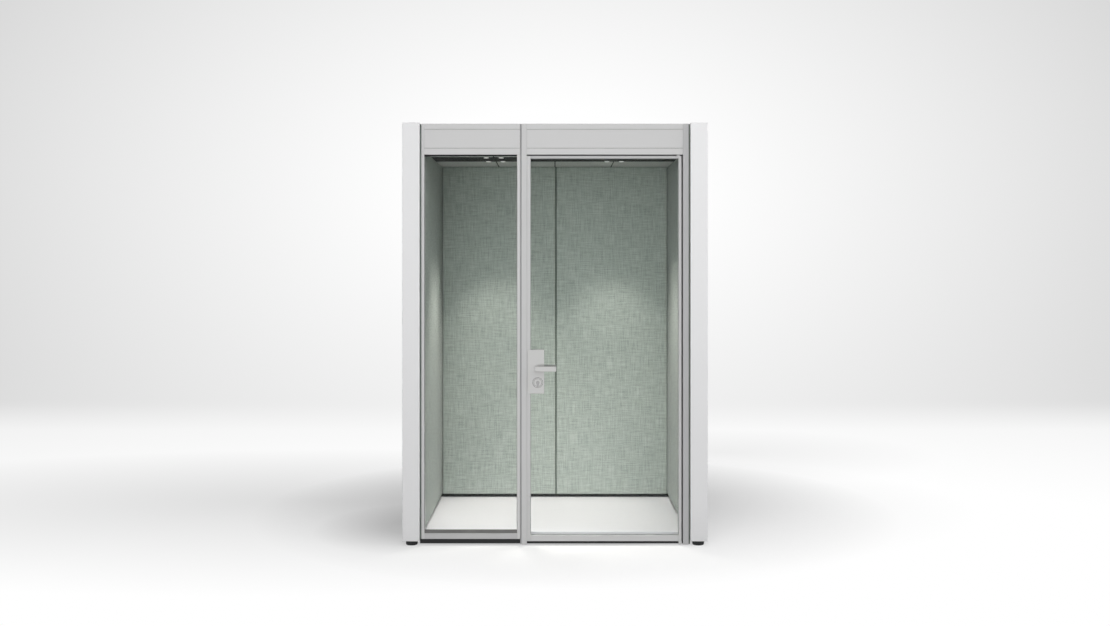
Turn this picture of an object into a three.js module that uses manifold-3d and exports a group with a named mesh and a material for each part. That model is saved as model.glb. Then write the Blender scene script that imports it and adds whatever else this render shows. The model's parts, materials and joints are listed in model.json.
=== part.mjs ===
// Acoustic office pod: a free-standing room for one, with thick side walls on levelling feet,
// a recessed glazed front with a pivot-hung door, fabric-lined walls and a ventilated ceiling.
// Millimetres. X runs to the right and Z up. Inside the pod group, Y is the distance behind
// the front edges of the side walls. The origin is on the ground, in the middle of the whole.
import * as THREE from 'three';
import { mergeVertices } from 'three/addons/utils/BufferGeometryUtils.js';
import Module from 'manifold-3d';

const wasm = await Module();
wasm.setup();

// Envelope and fits
const POD_WIDTH = 1910;
const POD_DEPTH = 1390;
const POD_HEIGHT = 2650;
const SEAT_GAP = 0.3;
const ROUND_SIDES = 32;
const FINE_SIDES = 16;

// Side walls and back wall
const WALL_THICKNESS = 107;
const WALL_BOARD = 18;
const WALL_STILE = 118;
const WALL_RAIL = 60;
const GROUND_GAP = 31;
const BACK_RECESS = 10;
const BACK_THICKNESS = 90;
const LINING_THICKNESS = 29;
const LINING_JOINT = 10;
const LINING_JOINT_X = 7;
const SKIRTING_HEIGHT = 23;
const SKIRTING_THICKNESS = 12;

// Floor, ceiling and roof
const FLOOR_LEVEL = 70;
const FLOOR_THICKNESS = 20;
const DECK_CLEARANCE = 22;
const CEILING_DROP = 170;
const CEILING_THICKNESS = 20;
const CEILING_JOINT_X = 410;
const CEILING_JOINT = 7;
const CEILING_JOINT_DEPTH = 4;
const STRIP_WIDTH = 324;
const STRIP_SHIFT = 42;
const STRIP_THICKNESS = 12;
const ROOF_DROP = 10;
const ROOF_THICKNESS = 20;
const ROOF_CORE_THICKNESS = 60;
const ROOF_CORE_MARGIN = 8;

// Front profiles
const FACADE_RECESS = 30;
const FACADE_DEPTH = 70;
const FACADE_DROP = 4;
const SHADOW_GAP = 9;
const SHADOW_DEPTH = 20;
const LEFT_JAMB_WIDTH = 19;
const RIGHT_JAMB_WIDTH = 36;
const MULLION_X = -193;
const MULLION_WIDTH = 32;
const MULLION_GROOVE = 10;
const MULLION_GROOVE_DEPTH = 15;
const FIXED_STILE_WIDTH = 19;
const PROFILE_WALL = 3;
const POST_CLEARANCE = 5;
const STOP_WIDTH = 13;
const STOP_DEPTH = 16;
const HEADER_HEIGHT = 194;
const HEADER_WALL = 4;
const HEADER_FLANGE = 14;
const HEADER_LINE = 3;
const HEADER_LINE_DEPTH = 2;
const HEADER_LINE_TOP = 35;
const HEADER_LINE_BOTTOM = 40;
const SILL_BOTTOM = 40;
const SILL_HEIGHT = 34;
const PLINTH_SETBACK = 6;
const PLINTH_CLEARANCE = 11;

// Glazing
const GLASS_THICKNESS = 12;
const GASKET_THICKNESS = 3;
const GLASS_SEAT = 6;
const GASKET_LIP = 2;
const FOOT_BEAD = 20;
const HEAD_BEAD = 9;

// Door leaf and its pivots
const DOOR_THICKNESS = 40;
const DOOR_LATCH_GAP = 3;
const DOOR_HEEL_GAP = 7;
const DOOR_TOP_GAP = 9;
const DOOR_BOTTOM = 26;
const DOOR_STILE = 20;
const DOOR_TOP_RAIL = 15;
const DOOR_BOTTOM_RAIL = 37;
const THRESHOLD_GAP = 3;
const SEAL_WIDTH = 10;
const PIVOT_RADIUS = 5;
const PIVOT_WASHER_RADIUS = 12;
const PIVOT_FOOT_REACH = 24;
const PIVOT_HEAD_REACH = 7;
const PIVOT_HEAD_SEAT = 8;

// Lock case on the glass, at the edge of the leaf
const LOCK_WIDTH = 104;
const LOCK_EDGE = 2;
const LOCK_DROP = 158;
const LOCK_RISE = 118;
const LOCK_PROUD = 8;
const LOCK_MARGIN = 18;
const LOCK_CASE_END = 11;
const LOCK_CASE_WALL = 4;
const LOCK_CASE_BACK = 2;
const LEVER_BACKSET = 66;
const LEVER_HEIGHT = 1110;
const LEVER_NECK_RADIUS = 9;
const LEVER_BAR_HEIGHT = 32;
const LEVER_BAR_DEPTH = 12;
const LEVER_REACH = 116;
const LEVER_ROOT = 18;
const LEVER_TIP_ROUND = 5;
const LEVER_PROJECTION = 55;
const SPINDLE_SIZE = 8;
const SPINDLE_SOCKET = 24;
const FOLLOWER_RADIUS = 11;
const FOLLOWER_ARM = 20;
const FOLLOWER_ARM_WIDTH = 6;
const FOLLOWER_THICKNESS = 6;
const LATCH_HEIGHT = 18;
const LATCH_RISE = 13;
const LATCH_DEPTH = 7;
const LATCH_THROW = 10;
const LATCH_TAIL = 9;
const LATCH_NOTCH_PLAY = 2;
const BOLT_HEIGHT = 22;
const BOLT_SETBACK = 2;
const BOLT_TAIL_GAP = 4;
const CYLINDER_DROP = 88;
const CYLINDER_ROSE_RADIUS = 31;
const CYLINDER_ROSE_PROUD = 3;
const PLUG_RADIUS = 8.5;
const PLUG_CAM_REACH = 14;
const PLUG_CAM_WIDTH = 6;
const KEYWAY_WIDTH = 2.4;
const KEYWAY_HEIGHT = 9;
const KEYWAY_DEPTH = 12;
const TURN_LENGTH = 32;
const TURN_THICKNESS = 8;
const TURN_PROJECTION = 20;
const RUNNING_GAP = 0.5;
const STRIKE_WIDTH = 24;
const STRIKE_MARGIN = 18;

// Levelling feet
const FOOT_RADIUS = 37.5;
const FOOT_TRIM = 3;
const FOOT_INSET = 60;
const STEM_RADIUS = 8;
const STEM_LENGTH = 45;

// Downlights, fans and supply
const SPOT_EDGE = 19;
const SPOT_INNER_X = 360;
const SPOT_PITCH = 100;
const SPOT_RADIUS = 14;
const SPOT_BEZEL_RADIUS = 17;
const SPOT_BEZEL_DROP = 3.5;
const SPOT_BORE_RADIUS = 11;
const SPOT_BORE_DEPTH = 6;
const SPOT_BRIDGE_HEIGHT = 10;
const SPOT_BRIDGE_WIDTH = 20;
const FAN_X = 180;
const FAN_SIZE = 140;
const FAN_HEIGHT = 38;
const FAN_BORE_RADIUS = 62;
const FAN_TIP_GAP = 3;
const FAN_HUB_RADIUS = 24;
const FAN_BLADES = 7;
const FAN_BLADE_CHORD = 30;
const FAN_BLADE_THICKNESS = 2.5;
const FAN_BLADE_PITCH = 32;
const FAN_STRUTS = 3;
const FAN_STRUT_WIDTH = 8;
const FAN_STRUT_HEIGHT = 4;
const FAN_AXLE_RADIUS = 3;
const DUCT_RADIUS = 70;
const AIR_SLOTS = 6;
const AIR_SLOT_LENGTH = 96;
const AIR_SLOT_WIDTH = 8;
const AIR_SLOT_PITCH = 16;
const DRIVER_LENGTH = 200;
const DRIVER_WIDTH = 60;
const DRIVER_HEIGHT = 35;
const DRIVER_SETBACK = 120;
const INLET_INSET = 148;
const INLET_HEIGHT = 160;
const INLET_WIDTH = 70;
const INLET_TALL = 45;
const INLET_THICKNESS = 8;
const INLET_WELL_WIDTH = 44;
const INLET_WELL_TALL = 22;
const INLET_WELL_DEPTH = 5;

// Places that follow from the sizes above
const WALL_INNER_X = POD_WIDTH / 2 - WALL_THICKNESS;
const LINING_INNER_X = WALL_INNER_X - SEAT_GAP - LINING_THICKNESS;
const INFILL_X = WALL_INNER_X - SEAT_GAP;
const FACADE_FRONT = FACADE_RECESS;
const FACADE_BACK = FACADE_RECESS + FACADE_DEPTH;
const FACADE_TOP = POD_HEIGHT - FACADE_DROP;
const INFILL_FRONT = FACADE_BACK + SEAT_GAP;
const BACK_OUTER = POD_DEPTH - BACK_RECESS;
const BACK_INNER = BACK_OUTER - BACK_THICKNESS;
const INFILL_BACK = BACK_INNER - SEAT_GAP;
const BACK_LINING_FACE = INFILL_BACK - LINING_THICKNESS;
const ROOM_MIDDLE = BACK_LINING_FACE / 2;
const STRIP_FRONT = ROOM_MIDDLE + STRIP_SHIFT - STRIP_WIDTH / 2;
const STRIP_BACK = STRIP_FRONT + STRIP_WIDTH;
const CEILING_LEVEL = POD_HEIGHT - CEILING_DROP;
const LINING_BOTTOM = FLOOR_LEVEL + SKIRTING_HEIGHT;
const STRIP_TOP = CEILING_LEVEL + SEAT_GAP + STRIP_THICKNESS;
const CEILING_TOP = CEILING_LEVEL + SEAT_GAP + CEILING_THICKNESS;
const ROOF_TOP = POD_HEIGHT - ROOF_DROP;
const ROOF_BOTTOM = ROOF_TOP - ROOF_THICKNESS;
const HEADER_BOTTOM = FACADE_TOP - HEADER_HEIGHT;
const LEFT_JAMB_EDGE = -WALL_INNER_X + SHADOW_GAP;
const LEFT_BAY_EDGE = LEFT_JAMB_EDGE + LEFT_JAMB_WIDTH;
const RIGHT_JAMB_EDGE = WALL_INNER_X - SHADOW_GAP;
const DOORWAY_RIGHT = RIGHT_JAMB_EDGE - RIGHT_JAMB_WIDTH;
const MULLION_LEFT = MULLION_X - MULLION_WIDTH / 2;
const DOORWAY_LEFT = MULLION_X + MULLION_WIDTH / 2;
const FIXED_STILE_RIGHT = MULLION_LEFT - MULLION_GROOVE;
const FIXED_STILE_LEFT = FIXED_STILE_RIGHT - FIXED_STILE_WIDTH;
const SILL_TOP = SILL_BOTTOM + SILL_HEIGHT;
const LEAF_LEFT = DOORWAY_LEFT + DOOR_LATCH_GAP;
const LEAF_RIGHT = DOORWAY_RIGHT - DOOR_HEEL_GAP;
const LEAF_TOP = HEADER_BOTTOM - DOOR_TOP_GAP;
const LEAF_FRONT = FACADE_FRONT;
const LEAF_BACK = LEAF_FRONT + DOOR_THICKNESS;
const LEAF_MIDDLE = LEAF_FRONT + DOOR_THICKNESS / 2;
const PIVOT_X = LEAF_RIGHT - DOOR_THICKNESS / 2;
const THRESHOLD_TOP = DOOR_BOTTOM - THRESHOLD_GAP;
const STOP_FRONT = FACADE_BACK - STOP_DEPTH;
const SIGHT_LEFT = LEAF_LEFT + DOOR_STILE;
const SIGHT_RIGHT = LEAF_RIGHT - DOOR_STILE;
const SIGHT_BOTTOM = DOOR_BOTTOM + DOOR_BOTTOM_RAIL;
const SIGHT_TOP = LEAF_TOP - DOOR_TOP_RAIL;
const GLASS_FRONT = LEAF_MIDDLE - GLASS_THICKNESS / 2;
const GLASS_BACK = LEAF_MIDDLE + GLASS_THICKNESS / 2;
const LOCK_LEFT = LEAF_LEFT + LOCK_EDGE;
const LOCK_RIGHT = LOCK_LEFT + LOCK_WIDTH;
const LOCK_BOTTOM = LEVER_HEIGHT - LOCK_DROP;
const LOCK_TOP = LEVER_HEIGHT + LOCK_RISE;
const CYLINDER_HEIGHT = LEVER_HEIGHT - CYLINDER_DROP;
const LOCK_FACE = LEAF_FRONT - LOCK_PROUD;
const LOCK_BACK_FACE = LEAF_BACK + LOCK_PROUD;
const CASE_LEFT = SIGHT_LEFT - GLASS_SEAT + SEAT_GAP;
const CASE_RIGHT = LOCK_RIGHT - LOCK_CASE_END;
const CASE_BOTTOM = LOCK_BOTTOM + LOCK_MARGIN;
const CASE_TOP = LOCK_TOP - LOCK_MARGIN;
const CASE_FRONT = GLASS_FRONT + SEAT_GAP;
const CASE_BACK = GLASS_BACK - SEAT_GAP;
const LEVER_X = LEAF_LEFT + LEVER_BACKSET;
const LATCH_BOTTOM = LEVER_HEIGHT + LATCH_RISE;
const LATCH_TOP = LATCH_BOTTOM + LATCH_HEIGHT;
const BOLT_LOW = CYLINDER_HEIGHT - BOLT_HEIGHT / 2;
const BOLT_HIGH = CYLINDER_HEIGHT + BOLT_HEIGHT / 2;
const FAN_BOTTOM = STRIP_TOP + SEAT_GAP;
const INLET_X = INLET_INSET - INFILL_X;
const LEVER_PROUD = Math.max(0, LEVER_PROJECTION - LOCK_FACE);

const pod = new THREE.Group();
pod.position.y = (LEVER_PROUD - POD_DEPTH) / 2;

// Finishes
function finish(color, roughness, metalness) {
  return new THREE.MeshStandardMaterial({ color, roughness, metalness });
}
const lacquer = () => finish(0xe2e2e2, 0.55, 0);
const aluminium = () => finish(0xc4c4c4, 0.4, 0.8);
const satinSteel = () => finish(0xbebebe, 0.3, 0.9);
const blackSteel = () => finish(0x2b2b2b, 0.6, 0.3);
const blackPlastic = () => finish(0x242424, 0.7, 0);
const rubber = () => finish(0x3a3b3b, 0.85, 0);
const sageFabric = () => finish(0x9da89e, 0.95, 0);
const darkFelt = () => finish(0x1f2120, 1, 0);
const whiteFloor = () => finish(0xeeeeee, 0.3, 0);
const ceilingFabric = () => finish(0x99a099, 0.95, 0);

function glass() {
  const material = finish(0xe4ece8, 0.03, 0);
  material.transparent = true;
  material.opacity = 0.2;
  return material;
}

// Solids and placing
function solid(geometry) {
  geometry.deleteAttribute('normal');
  geometry.deleteAttribute('uv');
  const merged = mergeVertices(geometry, 1e-4);
  const vertProperties = new Float32Array(merged.attributes.position.array);
  const triVerts = new Uint32Array(merged.index.array);
  return new wasm.Manifold(new wasm.Mesh({ numProp: 3, vertProperties, triVerts }));
}

function block(x0, x1, y0, y1, z0, z1) {
  const geometry = new THREE.BoxGeometry(x1 - x0, y1 - y0, z1 - z0);
  geometry.translate((x0 + x1) / 2, (y0 + y1) / 2, (z0 + z1) / 2);
  return solid(geometry);
}

function uprightRod(x, y, z0, z1, radius, sides = ROUND_SIDES) {
  const geometry = new THREE.CylinderGeometry(radius, radius, z1 - z0, sides);
  geometry.rotateX(Math.PI / 2);
  geometry.translate(x, y, (z0 + z1) / 2);
  return solid(geometry);
}

function throughRod(x, z, y0, y1, radius, sides = ROUND_SIDES) {
  const geometry = new THREE.CylinderGeometry(radius, radius, y1 - y0, sides);
  geometry.translate(x, (y0 + y1) / 2, z);
  return solid(geometry);
}

function join(first, ...others) {
  return others.reduce((sum, other) => sum.add(other), first);
}

function cut(body, ...tools) {
  return tools.reduce((rest, tool) => rest.subtract(tool), body);
}

function place(name, body, material) {
  const { vertProperties, triVerts } = body.getMesh();
  const geometry = new THREE.BufferGeometry();
  geometry.setAttribute('position', new THREE.BufferAttribute(vertProperties, 3));
  geometry.setIndex(new THREE.BufferAttribute(triVerts, 1));
  geometry.computeVertexNormals();
  const mesh = new THREE.Mesh(geometry, material);
  mesh.name = name;
  pod.add(mesh);
}

// A span along X on the left or right side, given as distances from the middle
function sideSpan(side, inner, outer) {
  return side < 0 ? [-outer, -inner] : [inner, outer];
}

const SIDES = [
  { name: 'left', sign: -1 },
  { name: 'right', sign: 1 },
];

// Side walls: an open tray of lacquered board, an absorbing core and a padded fabric lining
function addSideWalls() {
  const coreFront = WALL_STILE + SEAT_GAP;
  const coreBack = POD_DEPTH - WALL_STILE - SEAT_GAP;
  const wellBottom = GROUND_GAP + WALL_RAIL;
  const wellTop = POD_HEIGHT - WALL_RAIL;
  for (const { name, sign } of SIDES) {
    const outer = POD_WIDTH / 2;
    const [x0, x1] = sideSpan(sign, WALL_INNER_X, outer);
    const [w0, w1] = sideSpan(sign, WALL_INNER_X, outer - WALL_BOARD);
    const [c0, c1] = sideSpan(sign, WALL_INNER_X + SEAT_GAP, outer - WALL_BOARD - SEAT_GAP);
    const [l0, l1] = sideSpan(sign, LINING_INNER_X, WALL_INNER_X - SEAT_GAP);
    const well = block(w0, w1, WALL_STILE, POD_DEPTH - WALL_STILE, wellBottom, wellTop);
    const bores = [FOOT_INSET, POD_DEPTH - FOOT_INSET].map((y) => footBore(sign, y));
    const tray = block(x0, x1, 0, POD_DEPTH, GROUND_GAP, POD_HEIGHT);
    place(`${name}_wall_shell`, cut(tray, well, ...bores), lacquer());
    const core = block(c0, c1, coreFront, coreBack, wellBottom + SEAT_GAP, wellTop - SEAT_GAP);
    place(`${name}_wall_core`, core, darkFelt());
    const lining = block(l0, l1, INFILL_FRONT, INFILL_BACK, LINING_BOTTOM, CEILING_LEVEL);
    place(`${name}_lining`, lining, sageFabric());
  }
}

// Back wall: the same build, set between the side walls, with two linings and an open joint
function addBackWall() {
  const top = FACADE_TOP;
  const wellX = INFILL_X - WALL_RAIL;
  const wellBottom = GROUND_GAP + WALL_RAIL;
  const wellTop = top - WALL_RAIL;
  const wellBack = BACK_OUTER - WALL_BOARD;
  const tray = block(-INFILL_X, INFILL_X, BACK_INNER, BACK_OUTER, GROUND_GAP, top);
  const well = block(-wellX, wellX, BACK_INNER, wellBack, wellBottom, wellTop);
  place('back_wall_shell', cut(tray, well), lacquer());
  const coreX = wellX - SEAT_GAP;
  const coreTop = wellTop - SEAT_GAP;
  const coreBack = wellBack - SEAT_GAP;
  const core = block(-coreX, coreX, BACK_INNER + SEAT_GAP, coreBack, wellBottom + SEAT_GAP, coreTop);
  place('back_wall_core', core, darkFelt());
  for (const { name, sign } of SIDES) {
    const [x0, x1] = sideSpan(sign, LINING_JOINT / 2 + sign * LINING_JOINT_X, LINING_INNER_X - SEAT_GAP);
    const lining = block(x0, x1, BACK_LINING_FACE, INFILL_BACK, LINING_BOTTOM, CEILING_LEVEL);
    place(`back_lining_${name}`, lining, sageFabric());
  }
}

// Base deck, floor and the dark skirting set back under the linings
function addFloor() {
  const floorBottom = FLOOR_LEVEL - FLOOR_THICKNESS;
  const deckTop = floorBottom - SEAT_GAP;
  const deck = block(-INFILL_X, INFILL_X, INFILL_FRONT, INFILL_BACK, DECK_CLEARANCE, deckTop);
  place('base_deck', deck, blackSteel());
  const floor = block(-INFILL_X, INFILL_X, INFILL_FRONT, INFILL_BACK, floorBottom, FLOOR_LEVEL);
  place('floor_panel', floor, whiteFloor());
  const z0 = FLOOR_LEVEL + SEAT_GAP;
  const z1 = LINING_BOTTOM - SEAT_GAP;
  const innerX = INFILL_X - SKIRTING_THICKNESS;
  const outer = block(-INFILL_X, INFILL_X, INFILL_FRONT, INFILL_BACK, z0, z1);
  const room = block(-innerX, innerX, 0, INFILL_BACK - SKIRTING_THICKNESS, z0 - 1, z1 + 1);
  place('skirting', cut(outer, room), blackPlastic());
}

// Ceiling panels on either side of a dark service strip, with three fine joints
function addCeiling() {
  const bottom = CEILING_LEVEL + SEAT_GAP;
  const panels = [
    ['ceiling_front_panel', INFILL_FRONT, STRIP_FRONT - SEAT_GAP],
    ['ceiling_rear_panel', STRIP_BACK + SEAT_GAP, INFILL_BACK],
  ];
  for (const [name, y0, y1] of panels) {
    const panel = block(-INFILL_X, INFILL_X, y0, y1, bottom, CEILING_TOP);
    const joints = [-CEILING_JOINT_X, 0, CEILING_JOINT_X].map((x) => {
      const half = CEILING_JOINT / 2;
      return block(x - half, x + half, y0 - 1, y1 + 1, bottom - 1, bottom + CEILING_JOINT_DEPTH);
    });
    place(name, cut(panel, ...joints), ceilingFabric());
  }
  const strip = block(-INFILL_X, INFILL_X, STRIP_FRONT, STRIP_BACK, bottom, STRIP_TOP);
  place('ceiling_service_strip', cut(strip, ...spotHoles(), ...stripSlots()), blackSteel());
}

function airSlots(x, z0, z1) {
  const slots = [];
  for (let i = 0; i < AIR_SLOTS; i += 1) {
    const y = ROOM_MIDDLE + (i - (AIR_SLOTS - 1) / 2) * AIR_SLOT_PITCH;
    const half = AIR_SLOT_WIDTH / 2;
    slots.push(block(x - AIR_SLOT_LENGTH / 2, x + AIR_SLOT_LENGTH / 2, y - half, y + half, z0, z1));
  }
  return slots;
}

function stripSlots() {
  return SIDES.flatMap(({ sign }) => airSlots(sign * FAN_X, CEILING_LEVEL - 1, STRIP_TOP + 1));
}

// Roof panel with air slots, and the absorber under it with a round duct over each fan
function addRoof() {
  const roofSlots = SIDES.flatMap(({ sign }) => airSlots(sign * FAN_X, ROOF_BOTTOM - 1, ROOF_TOP + 1));
  const roof = block(-INFILL_X, INFILL_X, INFILL_FRONT, INFILL_BACK, ROOF_BOTTOM, ROOF_TOP);
  place('roof_panel', cut(roof, ...roofSlots), lacquer());
  const coreX = INFILL_X - ROOF_CORE_MARGIN;
  const coreFront = INFILL_FRONT + ROOF_CORE_MARGIN;
  const coreBack = INFILL_BACK - ROOF_CORE_MARGIN;
  const coreTop = ROOF_BOTTOM - SEAT_GAP;
  const coreBottom = coreTop - ROOF_CORE_THICKNESS;
  const core = block(-coreX, coreX, coreFront, coreBack, coreBottom, coreTop);
  const ducts = SIDES.map(({ sign }) => {
    return uprightRod(sign * FAN_X, ROOM_MIDDLE, coreBottom - 1, coreTop + 1, DUCT_RADIUS);
  });
  place('roof_core', cut(core, ...ducts), darkFelt());
}

// Downlights: twin heads on one bridge that lies on the service strip
function spotRows() {
  return [
    { name: 'front', y: STRIP_FRONT + SPOT_EDGE },
    { name: 'rear', y: STRIP_BACK - SPOT_EDGE },
  ];
}

function spotHoles() {
  return spotRows().flatMap(({ y }) => SIDES.flatMap(({ sign }) => [0, SPOT_PITCH].map((step) => {
    const x = sign * (SPOT_INNER_X + step);
    return uprightRod(x, y, CEILING_LEVEL - 1, STRIP_TOP + 1, SPOT_RADIUS + SEAT_GAP, FINE_SIDES);
  })));
}

function spotHead(x, y) {
  const bezelBottom = CEILING_LEVEL - SPOT_BEZEL_DROP;
  const top = STRIP_TOP + SEAT_GAP + SPOT_BRIDGE_HEIGHT;
  const barrel = uprightRod(x, y, bezelBottom, top, SPOT_RADIUS, FINE_SIDES);
  const bezel = uprightRod(x, y, bezelBottom, CEILING_LEVEL, SPOT_BEZEL_RADIUS, FINE_SIDES);
  const boreTop = bezelBottom + SPOT_BORE_DEPTH;
  const bore = uprightRod(x, y, bezelBottom - 1, boreTop, SPOT_BORE_RADIUS, FINE_SIDES);
  return cut(join(barrel, bezel), bore);
}

function addDownlights() {
  const bridgeBottom = STRIP_TOP + SEAT_GAP;
  for (const { name: row, y } of spotRows()) {
    for (const { name: side, sign } of SIDES) {
      const [x0, x1] = sideSpan(sign, SPOT_INNER_X, SPOT_INNER_X + SPOT_PITCH);
      const half = SPOT_BRIDGE_WIDTH / 2;
      const bridge = block(x0, x1, y - half, y + half, bridgeBottom, bridgeBottom + SPOT_BRIDGE_HEIGHT);
      const twin = join(bridge, spotHead(x0, y), spotHead(x1, y));
      place(`downlight_${row}_${side}`, twin, blackPlastic());
    }
  }
}

// Fans: a square housing with a spider and an axle pin, and a rotor that runs on the pin
function fanHousing(x, y) {
  const half = FAN_SIZE / 2;
  const top = FAN_BOTTOM + FAN_HEIGHT;
  const frame = block(x - half, x + half, y - half, y + half, FAN_BOTTOM, top);
  const bore = uprightRod(x, y, FAN_BOTTOM - 1, top + 1, FAN_BORE_RADIUS);
  const spiderTop = FAN_BOTTOM + FAN_STRUT_HEIGHT;
  const struts = [];
  for (let i = 0; i < FAN_STRUTS; i += 1) {
    const reach = (FAN_BORE_RADIUS + half) / 2;
    const bar = new THREE.BoxGeometry(reach, FAN_STRUT_WIDTH, FAN_STRUT_HEIGHT);
    bar.translate(reach / 2, 0, FAN_BOTTOM + FAN_STRUT_HEIGHT / 2);
    bar.rotateZ((i * 2 * Math.PI) / FAN_STRUTS);
    bar.translate(x, y, 0);
    struts.push(solid(bar));
  }
  const motor = uprightRod(x, y, FAN_BOTTOM, spiderTop, FAN_HUB_RADIUS, FINE_SIDES);
  const axleTop = top - FAN_STRUT_HEIGHT - RUNNING_GAP;
  const axle = uprightRod(x, y, FAN_BOTTOM, axleTop, FAN_AXLE_RADIUS, FINE_SIDES);
  return join(cut(frame, bore), ...struts, motor, axle);
}

function fanRotor(x, y) {
  const bottom = FAN_BOTTOM + FAN_STRUT_HEIGHT + RUNNING_GAP;
  const top = FAN_BOTTOM + FAN_HEIGHT - RUNNING_GAP;
  const boreTop = FAN_BOTTOM + FAN_HEIGHT - FAN_STRUT_HEIGHT;
  const hub = uprightRod(x, y, bottom, top, FAN_HUB_RADIUS, FINE_SIDES);
  const boreRadius = FAN_AXLE_RADIUS + SEAT_GAP;
  const bore = uprightRod(x, y, bottom - 1, boreTop, boreRadius, FINE_SIDES);
  const tip = FAN_BORE_RADIUS - FAN_TIP_GAP;
  const root = FAN_HUB_RADIUS - FAN_BLADE_THICKNESS;
  const blades = [];
  for (let i = 0; i < FAN_BLADES; i += 1) {
    const blade = new THREE.BoxGeometry(tip - root, FAN_BLADE_CHORD, FAN_BLADE_THICKNESS);
    blade.rotateX(THREE.MathUtils.degToRad(FAN_BLADE_PITCH));
    blade.translate((tip + root) / 2, 0, (bottom + top) / 2);
    blade.rotateZ((i * 2 * Math.PI) / FAN_BLADES);
    blade.translate(x, y, 0);
    blades.push(solid(blade));
  }
  return cut(join(hub, ...blades), bore);
}

function addVentilation() {
  const fans = { supply: -FAN_X, exhaust: FAN_X };
  for (const [name, x] of Object.entries(fans)) {
    place(`${name}_fan_housing`, fanHousing(x, ROOM_MIDDLE), blackPlastic());
    place(`${name}_fan_rotor`, fanRotor(x, ROOM_MIDDLE), blackPlastic());
  }
}

// Lamp driver over the rear ceiling panel, and the mains inlet low on the back
function addSupply() {
  const driverBack = INFILL_BACK - DRIVER_SETBACK;
  const driverFront = driverBack - DRIVER_WIDTH;
  const driverBottom = CEILING_TOP + SEAT_GAP;
  const half = DRIVER_LENGTH / 2;
  const driver = block(-half, half, driverFront, driverBack, driverBottom, driverBottom + DRIVER_HEIGHT);
  place('lamp_driver', driver, blackPlastic());
  const face = BACK_OUTER + SEAT_GAP + INLET_THICKNESS;
  const [x0, x1] = [INLET_X - INLET_WIDTH / 2, INLET_X + INLET_WIDTH / 2];
  const [z0, z1] = [INLET_HEIGHT - INLET_TALL / 2, INLET_HEIGHT + INLET_TALL / 2];
  const plate = block(x0, x1, BACK_OUTER + SEAT_GAP, face, z0, z1);
  const [wx, wz] = [INLET_WELL_WIDTH / 2, INLET_WELL_TALL / 2];
  const wellFloor = face - INLET_WELL_DEPTH;
  const well = block(INLET_X - wx, INLET_X + wx, wellFloor, face + 1, INLET_HEIGHT - wz, INLET_HEIGHT + wz);
  place('mains_inlet', cut(plate, well), blackPlastic());
}

// Glazing: the pane, its gasket and the room that both take in the frame
const fixedSight = { x0: LEFT_BAY_EDGE, x1: FIXED_STILE_LEFT, z0: SILL_TOP, z1: HEADER_BOTTOM };
const doorSight = { x0: SIGHT_LEFT, x1: SIGHT_RIGHT, z0: SIGHT_BOTTOM, z1: SIGHT_TOP };

function glazingBlock(sight, grow, y0, y1) {
  return block(sight.x0 - grow, sight.x1 + grow, y0, y1, sight.z0 - grow, sight.z1 + grow);
}

function glazingSeat(sight) {
  const reach = GASKET_THICKNESS + SEAT_GAP;
  return glazingBlock(sight, GLASS_SEAT + SEAT_GAP, GLASS_FRONT - reach, GLASS_BACK + reach);
}

function pane(sight) {
  return glazingBlock(sight, GLASS_SEAT - GASKET_THICKNESS, GLASS_FRONT, GLASS_BACK);
}

function gasket(sight, bottomLip, topLip) {
  const front = GLASS_FRONT - GASKET_THICKNESS;
  const back = GLASS_BACK + GASKET_THICKNESS;
  const body = glazingBlock(sight, GLASS_SEAT, front, back);
  const slotGrow = GLASS_SEAT - GASKET_THICKNESS + SEAT_GAP;
  const slot = glazingBlock(sight, slotGrow, GLASS_FRONT - SEAT_GAP, GLASS_BACK + SEAT_GAP);
  const x0 = sight.x0 + GASKET_LIP;
  const x1 = sight.x1 - GASKET_LIP;
  const view = block(x0, x1, front - 1, back + 1, sight.z0 + bottomLip, sight.z1 - topLip);
  return cut(body, slot, view);
}

// Fixed front profiles: jambs, mullion, headers, the sill of the fixed bay and the plinths
// An upright is a tube that is open at its foot and capped at its head
function upright(x0, x1, z0, z1) {
  const [front, back] = [FACADE_FRONT + PROFILE_WALL, FACADE_BACK - PROFILE_WALL];
  const tube = block(x0, x1, FACADE_FRONT, FACADE_BACK, z0, z1);
  const bore = block(x0 + PROFILE_WALL, x1 - PROFILE_WALL, front, back, z0 - 1, z1 - PROFILE_WALL);
  return cut(tube, bore);
}

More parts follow.
